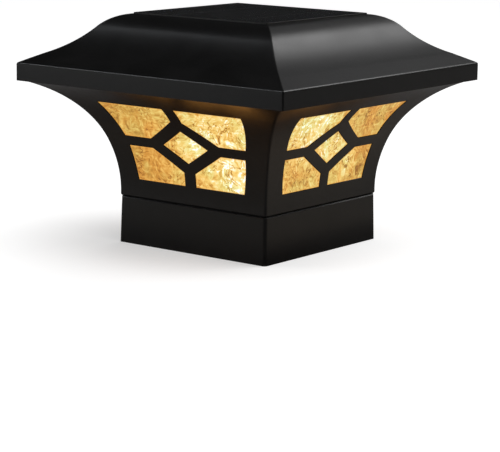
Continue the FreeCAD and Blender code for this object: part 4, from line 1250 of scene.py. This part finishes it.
    def channel(self, skin: Skin, side: Side) -> None:
        """Channel that a pane slides into: a rail carried down one edge, along the foot and up the other.

        Args:
            skin: Takes the grid.
            side: Where it stands.
        """
        pane = PaneOutline.read(side)
        gap, lip, back = self.pane_gap, -self.channel_lip, self.channel_lip_back
        lip_front, outer = back - self.channel_wall, gap + self.channel_wall
        section = [(self.wall, outer), (back, outer), (back, lip), (lip_front, lip), (lip_front, gap),
                   (self.wall, gap)]
        rows = []
        for depth, out in section:
            foot = pane.bottom - out
            rise = self.line([pane.half(foot) + out, foot], [pane.wide + out, pane.top], self.channel_steps)
            path = np.vstack([rise[::-1] * [-1, 1], rise])
            rows.append(turned(self.place(path[:, 0], path[:, 1], depth), side.value))
        skin.add(np.stack(rows))
        for end in (0, -1):
            a, b, c, d, e, f = (row[end] for row in rows)
            skin.add(np.array([[a, b], [f, e]]))
            skin.add(np.array([[b, c], [e, d]]))

    def build(self) -> None:
        """Make the four sides as one skin and let it stand for their solids."""
        skin = Skin()
        for side in Side:
            self.channel(skin, side)
            self.face(skin, side.value, 0.0, self.edge_round, self.hip_round)
            self.face(skin, side.value, self.wall, 0.0, self.inner_round)
            self.reveals(skin, side.value)
            self.rails(skin, side.value)
            self.hips_between(skin, side.value)
        piece = skin.make("lantern_sides", self.sharp_degrees)
        self.wardrobe.dress(piece, "black_housing", Body.LANTERN, [f"lantern_{side.node}" for side in Side])


@dataclass(frozen=True)
class GlowSpot:
    """Soft painted glow spot of a pane, seen square on."""

    across: float
    height: float
    spread: float
    strength: float

    def at(self, across: np.ndarray, height: np.ndarray) -> np.ndarray:
        """Strength * exp(-(distance / spread)^2 / 2)."""
        apart = (across - self.across) ** 2 + (height - self.height) ** 2
        return self.strength * np.exp(-apart / (2 * self.spread ** 2))


@dataclass
class Panes:
    """The four amber panes, each rippled in front on the raised land of each opening."""

    cove: Cove
    tracery: Tracery
    wardrobe: Wardrobe
    front: float = 1.9 * MM
    back: float = 3.5 * MM
    land: float = 0.42 * MM
    land_foot: float = 2.0 * MM
    ripple: Ripple = Ripple()
    first_seed: int = 7
    relief: float = 0.13 * MM
    calm_width: float = 1.2 * MM
    cell: float = 0.55 * MM
    sheet_cells: int = 2
    edge_highlight_width: float = 0.8 * MM
    sharp_degrees: float = 40.0
    far_tone: float = 0.24
    near_tone: float = 0.56
    tone_power: float = 0.8
    cast_tones: Pair = (0.25, 0.60)
    least_cast: float = 0.25
    side_cast: float = 0.5
    # painted glow spots where the globe's light shows through the front and right panes
    front_spots: tuple[GlowSpot, ...] = (
        GlowSpot(32 * MM, 44 * MM, 8 * MM, 0.22), GlowSpot(24 * MM, 60 * MM, 15 * MM, 0.10),
        GlowSpot(0 * MM, 57 * MM, 9 * MM, 0.12))
    right_spots: tuple[GlowSpot, ...] = (
        GlowSpot(-24 * MM, 64 * MM, 13 * MM, 0.10), GlowSpot(1 * MM, 57 * MM, 9 * MM, 0.16),
        GlowSpot(20 * MM, 47 * MM, 5 * MM, 0.22), GlowSpot(-28 * MM, 42 * MM, 10 * MM, -0.12))

    def build(self) -> None:
        """Make each pane in its channel."""
        for side in Side:
            self.pane(side)

    def layer(self, across: np.ndarray, height: np.ndarray, depth: float, wave: np.ndarray | float,
              side: Side) -> np.ndarray:
        """Points (half width at height and depth, plus a wave, across, height), turned to their side."""
        x = self.cove.half(height, depth) + wave
        return turned(np.stack([x, across, height], axis=-1), side.value)

    def plate(self, skin: Skin, across: np.ndarray, height: np.ndarray, depths: Pair, calm: np.ndarray,
              side: Side) -> None:
        """Closed plate on a grid of (across, height): a front, a back and the four edges between them.

        Args:
            skin: Takes the grids.
            across: Places across, rows by columns.
            height: Heights, rows by columns.
            depths: Depths of front and back under the lantern's outer face.
            calm: 0 where the front must lie still and 1 where it may ripple.
            side: Where it stands.
        """
        wave = self.ripple.at(across, height, self.first_seed + side.value) * calm * self.relief
        front = self.layer(across, height, depths[0], wave, side)
        back = self.layer(across, height, depths[1], 0.0, side)
        skin.add(front)
        skin.add(back)
        for line in (np.s_[0], np.s_[-1], np.s_[:, 0], np.s_[:, -1]):
            skin.add(np.stack([front[line], back[line]]))

    def pane(self, side: Side) -> None:
        """Make one pane: a plain sheet, and a rippled land in each opening.

        Args:
            side: Where it stands.
        """
        skin = Skin()
        across, height = self.grid(PaneOutline.read(side).corners(), self.cell * self.sheet_cells)
        self.plate(skin, across, height, (self.front, self.back), np.zeros_like(across), side)
        for corners in self.tracery.openings():
            across, height = self.grid(corners, self.cell)
            calm = np.clip(outline_distance(across, height, corners) / self.calm_width, 0, 1)
            self.plate(skin, across, height, (self.land, self.land_foot), calm, side)
        piece = skin.make(f"amber_{side.node}", self.sharp_degrees)
        self.mark(piece, side)
        self.wardrobe.dress(piece, "amber_pane", Body.LANTERN, [f"pane_{side.node}"])

    def grid(self, corners: np.ndarray, cell: float) -> tuple[np.ndarray, np.ndarray]:
        """Level rows across a convex outline, with a row at each of its corners.

        Corners whose heights agree to a nanometre share a row.

        Args:
            corners: The outline's corners.
            cell: Rough size of a cell.

        Returns:
            Places across and heights, rows by columns.
        """
        stops = np.unique(np.round(corners[:, 1], 9))
        rows = [np.linspace(a, b, max(2, int((b - a) / cell)) + 1)[:-1] for a, b in zip(stops, stops[1:])]
        heights = np.concatenate(rows + [stops[-1:]])
        left, right = chords(corners, heights)
        columns = int(np.ptp(corners[:, 0]) / cell) + 1
        across = left[:, None] + (right - left)[:, None] * np.linspace(0, 1, columns)[None]
        return across, np.broadcast_to(heights[:, None], across.shape)

    def mark(self, piece: bpy.types.Object, side: Side) -> None:
        """Store how bright each point is painted, how near it is to an opening's edge for a painted edge
        highlight, and what light it casts.

        The painted glow runs from far_tone at the corner away from the lit one to near_tone at it, with the
        painted glow spots on top. A point casts more light the brighter it is.

        Args:
            piece: The pane.
            side: Where it stands.
        """
        points = np.empty(len(piece.data.vertices) * 3)
        piece.data.vertices.foreach_get("co", points)
        _, across, height = turned(points.reshape(-1, 3), -side.value).T
        lit_end = 1 if side.runs_along_x else -1
        share = np.clip(across * lit_end / (2 * self.tracery.half_at_head) + 0.5, 0, 1)
        tone = self.far_tone + (self.near_tone - self.far_tone) * share ** self.tone_power
        spots = self.front_spots if side.runs_along_x else self.right_spots
        tone += sum(spot.at(across, height) for spot in spots)
        low, high = self.cast_tones
        cast = np.clip((tone - low) / (high - low), self.least_cast, 1)
        cast *= 1.0 if side.runs_along_x else self.side_cast
        openings = self.tracery.openings()
        inside = np.max([outline_distance(across, height, corners) for corners in openings], axis=0)
        # rim: mask for the painted edge highlight along each opening
        rim = np.clip(1 - np.abs(inside) / self.edge_highlight_width, 0, 1)
        for name, value in {"near_light": tone, "rim": rim, "cast_light": cast}.items():
            attribute = piece.data.attributes.new(name, "FLOAT", "POINT")
            attribute.data.foreach_set("value", value.astype(np.float32))


@dataclass
class Roof:
    """Ogee roof: a skirt, a lip, a hollow slope, a round shoulder and a bordered deck."""

    wardrobe: Wardrobe
    wall: float = 2.2 * MM
    fascia_height: float = 9.8 * MM
    edge_round: float = 1.3 * MM
    deck_half: float = 42.5 * MM
    shoulder_r: float = 20.2 * MM
    shoulder_turn: float = 48.5
    valley_r: float = 54.2 * MM
    valley_end: float = 23.0
    corner_round: float = 0.8 * MM
    hip_round: float = 0.6 * MM
    recess_half: float = 42.6 * MM
    border: float = 1.3 * MM
    border_height: float = 0.6 * MM
    recess: float = 2.2 * MM
    deck_wall: float = 2.0 * MM
    bevel: float = 0.06 * MM
    rib_places: tuple[float, ...] = (-42 * MM, 0.0, 42 * MM)
    rib_reach: float = 4.2 * MM
    rib_half: float = 1.0 * MM
    ceiling_boss: tuple[float, float, float] = (57.0 * MM, 57.0 * MM, 3.8 * MM)
    tub_boss: tuple[float, float, float] = (34.6 * MM, 20.0 * MM, 3.5 * MM)
    hole_share: float = 0.35
    hole_depth: float = 6 * MM
    valley_steps: int = 28
    crown_steps: int = 24
    inner_steps: int = 16
    edge_steps: int = 6
    lip_steps: int = 7
    side_steps: int = 16
    corner_steps: int = 5
    boss_steps: int = 24
    sharp_degrees: float = 26.0

    def __post_init__(self) -> None:
        """Read the levels from the frame."""
        low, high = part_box("roof_cover")
        self.rim = high.x
        self.skirt = low.z
        self.top = high.z
        self.deck = self.top - self.border_height
        self.fascia = self.skirt + self.fascia_height
        self.recess_floor = self.deck - self.recess

    def slope(self, depth: float) -> tuple[np.ndarray, Pair, float]:
        """Valley and shoulder of the slope, set in by a depth.

        Args:
            depth: How far inside the outer face.

        Returns:
            The valley's points, and the shoulder's centre and radius.
        """
        turn = math.radians(self.shoulder_turn)
        shoulder = (self.deck_half, self.deck - self.shoulder_r)
        reach = self.shoulder_r + self.valley_r
        centre = (shoulder[0] + reach * math.sin(turn), shoulder[1] + reach * math.cos(turn))
        valley = arc_points(centre, self.valley_r + depth, 270 - self.valley_end, 270 - self.shoulder_turn,
                            self.valley_steps)
        return valley, shoulder, self.shoulder_r - depth

    def outside(self) -> tuple[np.ndarray, int]:
        """Outline from the skirt's open edge up over the slope and into the recess.

        Returns:
            Half widths and heights, and how many of the first points lie on the skirt.
        """
        valley, shoulder, shoulder_r = self.slope(0.0)
        outer, inner, b = self.recess_half + self.border, self.recess_half, self.bevel
        border_angle = math.degrees(math.acos((outer - shoulder[0]) / shoulder_r))
        crown = arc_points(shoulder, shoulder_r, 90 - self.shoulder_turn, border_angle, self.crown_steps)
        centre = (self.rim - self.edge_round, self.fascia - self.edge_round)
        lip_angle = math.degrees(math.atan2(valley[0, 1] - self.fascia, centre[0] - valley[0, 0]))
        edge = arc_points(centre, self.edge_round, 0, 90 - lip_angle, self.edge_steps)
        lip = np.linspace(edge[-1], valley[0], self.lip_steps + 1)[1:-1]
        skirt = np.vstack([[[self.rim - b, self.skirt], [self.rim, self.skirt + b]], edge])
        border = [[outer, self.top - b], [outer - b, self.top], [inner + b, self.top], [inner, self.top - b],
                  [inner, self.recess_floor], [0.0, self.recess_floor]]
        return np.vstack([skirt, lip, valley, crown[1:], border]), len(skirt)

    def inside(self) -> np.ndarray:
        """Outline from the middle under the deck down to the skirt's open edge.

        Returns:
            Half widths and heights.
        """
        valley, shoulder, radius = self.slope(self.wall)
        under = self.recess_floor - self.deck_wall
        top_angle = math.degrees(math.asin((under - shoulder[1]) / radius))
        crown = arc_points(shoulder, radius, 90 - self.shoulder_turn, top_angle, self.inner_steps)
        skirt = self.rim - self.wall
        return np.vstack([[[0.0, under]], crown[::-1], valley[::-1][1:],
                          [[skirt, self.fascia - self.wall], [skirt, self.skirt]]])

    def middle_height(self, half: np.ndarray) -> np.ndarray:
        """Height of the middle of the roof's wall, from points along the slope.

        Args:
            half: Half widths.

        Returns:
            Heights.
        """
        valley, shoulder, radius = self.slope(self.wall / 2)
        crown = arc_points(shoulder, radius, 90 - self.shoulder_turn, 90.0, self.inner_steps)
        line = np.vstack([valley, crown[1:], [[0.0, self.recess_floor - self.deck_wall / 2]]])
        line[:, 1] = np.minimum(line[:, 1], line[-1, 1])
        return np.interp(half, line[::-1, 0], line[::-1, 1])

    def rib(self, skin: Skin, along: float, quarters: int) -> None:
        """Upright plate inside the skirt that the lantern's flange comes up against.

        Args:
            skin: Takes the grids.
            along: Its place along the side.
            quarters: Which side, in quarter turns.
        """
        near, far = self.rim - self.wall - self.rib_reach, self.rim - self.wall / 2
        left, right = along - self.rib_half, along + self.rib_half
        plan = [[near, left], [far, left], [far, right], [near, right]]
        levels = [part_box("lantern_right")[1].z, self.fascia - self.wall / 2]
        walls = np.array([[[x, y, z] for x, y in plan] for z in levels])
        skin.add(turned(walls, quarters), close_columns=True)
        for row in walls:
            skin.add(turned(np.array([[row[0], row[1]], [row[3], row[2]]]), quarters))

    def boss(self, skin: Skin, x: float, y: float, radius: float, foot: float) -> None:
        """Screw boss: a post with a blind hole, up into the middle of the roof's wall.

        Args:
            skin: Takes the grid.
            x: Its place.
            y: Its place.
            radius: Its radius.
            foot: Height of its lower end.
        """
        angle = np.linspace(0, 2 * math.pi, self.boss_steps, endpoint=False)
        hole = foot + self.hole_depth
        rings = []
        for share, level in ((0.0, None), (1.0, None), (1.0, foot), (self.hole_share, foot),
                             (self.hole_share, hole), (0.0, hole)):
            px, py = x + share * radius * np.cos(angle), y + share * radius * np.sin(angle)
            top = self.middle_height(np.maximum(np.abs(px), np.abs(py)))
            rings.append(np.stack([px, py, top if level is None else np.full_like(px, level)], axis=-1))
        skin.add(np.stack(rings), close_columns=True)

    def build(self) -> None:
        """Carry the profile round the square, close it, and stand ribs and bosses inside."""
        outside, skirt_points = self.outside()
        points = np.vstack([outside, self.inside()])
        radius = np.full(len(points), self.hip_round)
        radius[:skirt_points] = self.corner_round
        radius[len(outside):] = self.hip_round / 2
        skin = Skin()
        sweep = square_sweep(points, radius, self.side_steps, self.corner_steps)
        skin.add(sweep, close_columns=True, close_rows=True)
        for quarters in range(4):
            for along in self.rib_places:
                self.rib(skin, along, quarters)
        levels = (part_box("ceiling_reflector")[1].z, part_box("battery_tub")[1].z)
        for (x, y, r), foot in zip((self.ceiling_boss, self.tub_boss), levels):
            for mx, my in ((1, 1), (-1, 1), (-1, -1), (1, -1)):
                self.boss(skin, mx * x, my * y, r, foot)
        piece = skin.make("roof_shell", self.sharp_degrees)
        self.wardrobe.dress(piece, "black_housing", Body.ROOF, ["roof_cover"])


# ------------------------------------------------------------------ studio


@dataclass(frozen=True)
class Camera:
    """The photograph's viewpoint, fitted to the lamp's corners."""

    place: tuple[float, float, float] = (651.0 * MM, -840.31 * MM, 213.37 * MM)
    yaw: float = 37.716
    pitch: float = 10.957
    roll: float = 0.803
    focal_pixels: float = 2015.7
    picture_width: float = 500.0
    sensor: float = 36.0
    clip: Pair = (0.05, 20.0)

    def build(self) -> None:
        """Make the camera and look through it."""
        yaw, pitch, roll = (math.radians(angle) for angle in (self.yaw, self.pitch, self.roll))
        back = Vector((math.sin(yaw) * math.cos(pitch), -math.cos(yaw) * math.cos(pitch), math.sin(pitch)))
        right = Vector((0, 0, 1)).cross(back).normalized()
        up = back.cross(right)
        tilted = right * math.cos(roll) + up * math.sin(roll)
        upright = back.cross(tilted)
        data = bpy.data.cameras.new("studio_camera")
        data.sensor_width = self.sensor
        data.lens = self.focal_pixels / self.picture_width * self.sensor
        data.clip_start, data.clip_end = self.clip
        camera = bpy.data.objects.new("studio_camera", data)
        turn = Matrix((tilted, upright, back)).transposed().to_4x4()
        camera.matrix_world = Matrix.Translation(Vector(self.place)) @ turn
        bpy.context.scene.collection.objects.link(camera)
        bpy.context.scene.camera = camera


@dataclass(frozen=True)
class SoftBox:
    """A soft rectangular light, aimed at a place on the lamp."""

    name: str
    place: tuple[float, float, float]
    size: Pair
    power: float
    colour: Colour = WHITE
    aim: tuple[float, float, float] = (0.0, 0.0, 0.07)
    seen: bool = True

    def build(self) -> None:
        """Make the light; one that is not seen lights the lamp and stays out of the picture."""
        data = bpy.data.lights.new(self.name, "AREA")
        data.shape = "RECTANGLE"
        data.size, data.size_y = self.size
        data.energy = self.power
        data.color = self.colour
        light = bpy.data.objects.new(self.name, data)
        light.location = self.place
        light.rotation_mode = "QUATERNION"
        light.rotation_quaternion = (Vector(self.place) - Vector(self.aim)).to_track_quat("Z", "Y")
        light.visible_camera = self.seen
        bpy.context.scene.collection.objects.link(light)


@dataclass(frozen=True)
class Studio:
    """Pale floor, white surroundings and soft lights.

    The two bounces stand in for the light that a real bright floor would throw up at the lamp.
    """

    floor_half: float = 6.0
    floor_sharp_degrees: float = 32.0
    floor_grey: Colour = (0.5, 0.5, 0.5)
    floor_glow: float = 0.96
    sky_reach: float = 0.11
    sky_from: tuple[float, float, float] = (0.60, 0.52, 0.61)
    sky_shares: Pair = (0.15, 0.97)
    sky_shade: float = 0.56
    contact_reach: float = 0.08
    contact_shares: Pair = (0.50, 1.0)
    contact_shade: float = 0.88
    surroundings: Colour = (1.0, 1.0, 0.995)
    fill: float = 0.016
    lights: tuple[SoftBox, ...] = (
        SoftBox("key_behind_right", (0.38, 0.94, 0.90), (0.68, 0.48), 3.5),
        SoftBox("behind_low", (-0.33, 1.07, 0.84), (0.45, 0.35), 0.16),
        SoftBox("right_edge", (0.56, 0.95, 0.74), (0.3, 0.3), 0.70),
        SoftBox("right_low", (0.80, 0.92, 0.10), (0.4, 0.2), 0.07, (1.0, 0.90, 0.76)),
        SoftBox("overhead", (0.0, -0.05, 1.5), (0.9, 0.9), 2.2),
        SoftBox("left_above", (-0.74, -0.55, 0.88), (0.3, 0.3), 1.9, (0.93, 0.96, 1.0)),
        SoftBox("left_low", (-0.62, -0.80, 0.14), (0.5, 0.22), 0.40),
        SoftBox("front_fill", (0.5, -1.3, 0.5), (0.8, 0.6), 0.2),
        SoftBox("right_bounce", (0.13, 0.06, 0.004), (0.12, 0.2), 0.016, (1.0, 0.82, 0.62),
                aim=(0.13, 0.06, 0.1), seen=False),
        SoftBox("left_bounce", (-0.05, -0.14, 0.004), (0.2, 0.12), 0.009, (1.0, 0.82, 0.62),
                aim=(-0.05, -0.14, 0.1), seen=False),
    )

    def build(self) -> None:
        """Make floor, world and lights."""
        self.floor()
        self.world()
        for light in self.lights:
            light.build()
        bpy.context.scene.view_settings.view_transform = "Standard"

    def floor(self) -> None:
        """A pale sheet that glows to the camera alone, with two soft painted shadows.

        One shadow is where the lamp hides what lies behind on the right, the other is where it is close.
        """
        skin = Skin()
        reach = self.floor_half
        skin.add(np.array([[[x, y, 0.0] for x in (-reach, 0.0, reach)] for y in (-reach, 0.0, reach)]))
        piece = skin.make("studio_floor", self.floor_sharp_degrees)
        made = bpy.data.materials.new("studio_floor")
        made.use_nodes = True
        made.node_tree.nodes.clear()
        graph = Graph(made.node_tree)
        seen = graph.add("ShaderNodeLightPath").outputs["Is Camera Ray"]
        towards = graph.add("ShaderNodeCombineXYZ", dict(enumerate(self.sky_from))).outputs[0]
        hidden = {"Distance": self.sky_reach, "Normal": towards}
        sky = graph.add("ShaderNodeAmbientOcclusion", hidden).outputs["AO"]
        shade = graph.span(sky, *self.sky_shares, self.sky_shade * self.floor_glow, self.floor_glow)
        close = graph.add("ShaderNodeAmbientOcclusion", {"Distance": self.contact_reach}).outputs["AO"]
        contact = graph.span(close, *self.contact_shares, self.contact_shade, 1.0)
        glow = graph.math("MULTIPLY", graph.math("MULTIPLY", seen, shade), contact)
        shader = graph.add("ShaderNodeBsdfPrincipled", {
            "Base Color": self.floor_grey, "Roughness": 0.5, "Specular IOR Level": 0.0,
            "Emission Color": WHITE, "Emission Strength": glow}).outputs[0]
        graph.add("ShaderNodeOutputMaterial", {"Surface": shader})
        piece.data.materials.append(made)

    def world(self) -> None:
        """White to look at, and a dim grey as light."""
        world = bpy.data.worlds.new("studio_world")
        world.use_nodes = True
        world.node_tree.nodes.clear()
        graph = Graph(world.node_tree)
        seen = graph.add("ShaderNodeLightPath").outputs["Is Camera Ray"]
        strength = graph.span(seen, 0.0, 1.0, self.fill, 1.0)
        shader = graph.add("ShaderNodeBackground", {0: self.surroundings, 1: strength})
        graph.add("ShaderNodeOutputWorld", {"Surface": shader.outputs[0]})
        bpy.context.scene.world = world


def main() -> None:
    """Dress the lamp and set up the studio."""
    logging.basicConfig(level=logging.INFO, format="%(name)s: %(message)s")
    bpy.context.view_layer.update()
    wardrobe = Wardrobe()
    wardrobe.dress_nodes()
    cove, tracery = Cove(), Tracery()
    LanternSides(cove, tracery, wardrobe).build()
    Panes(cove, tracery, wardrobe).build()
    Roof(wardrobe).build()
    Studio().build()
    Camera().build()


if __name__ == "__main__":
    main()
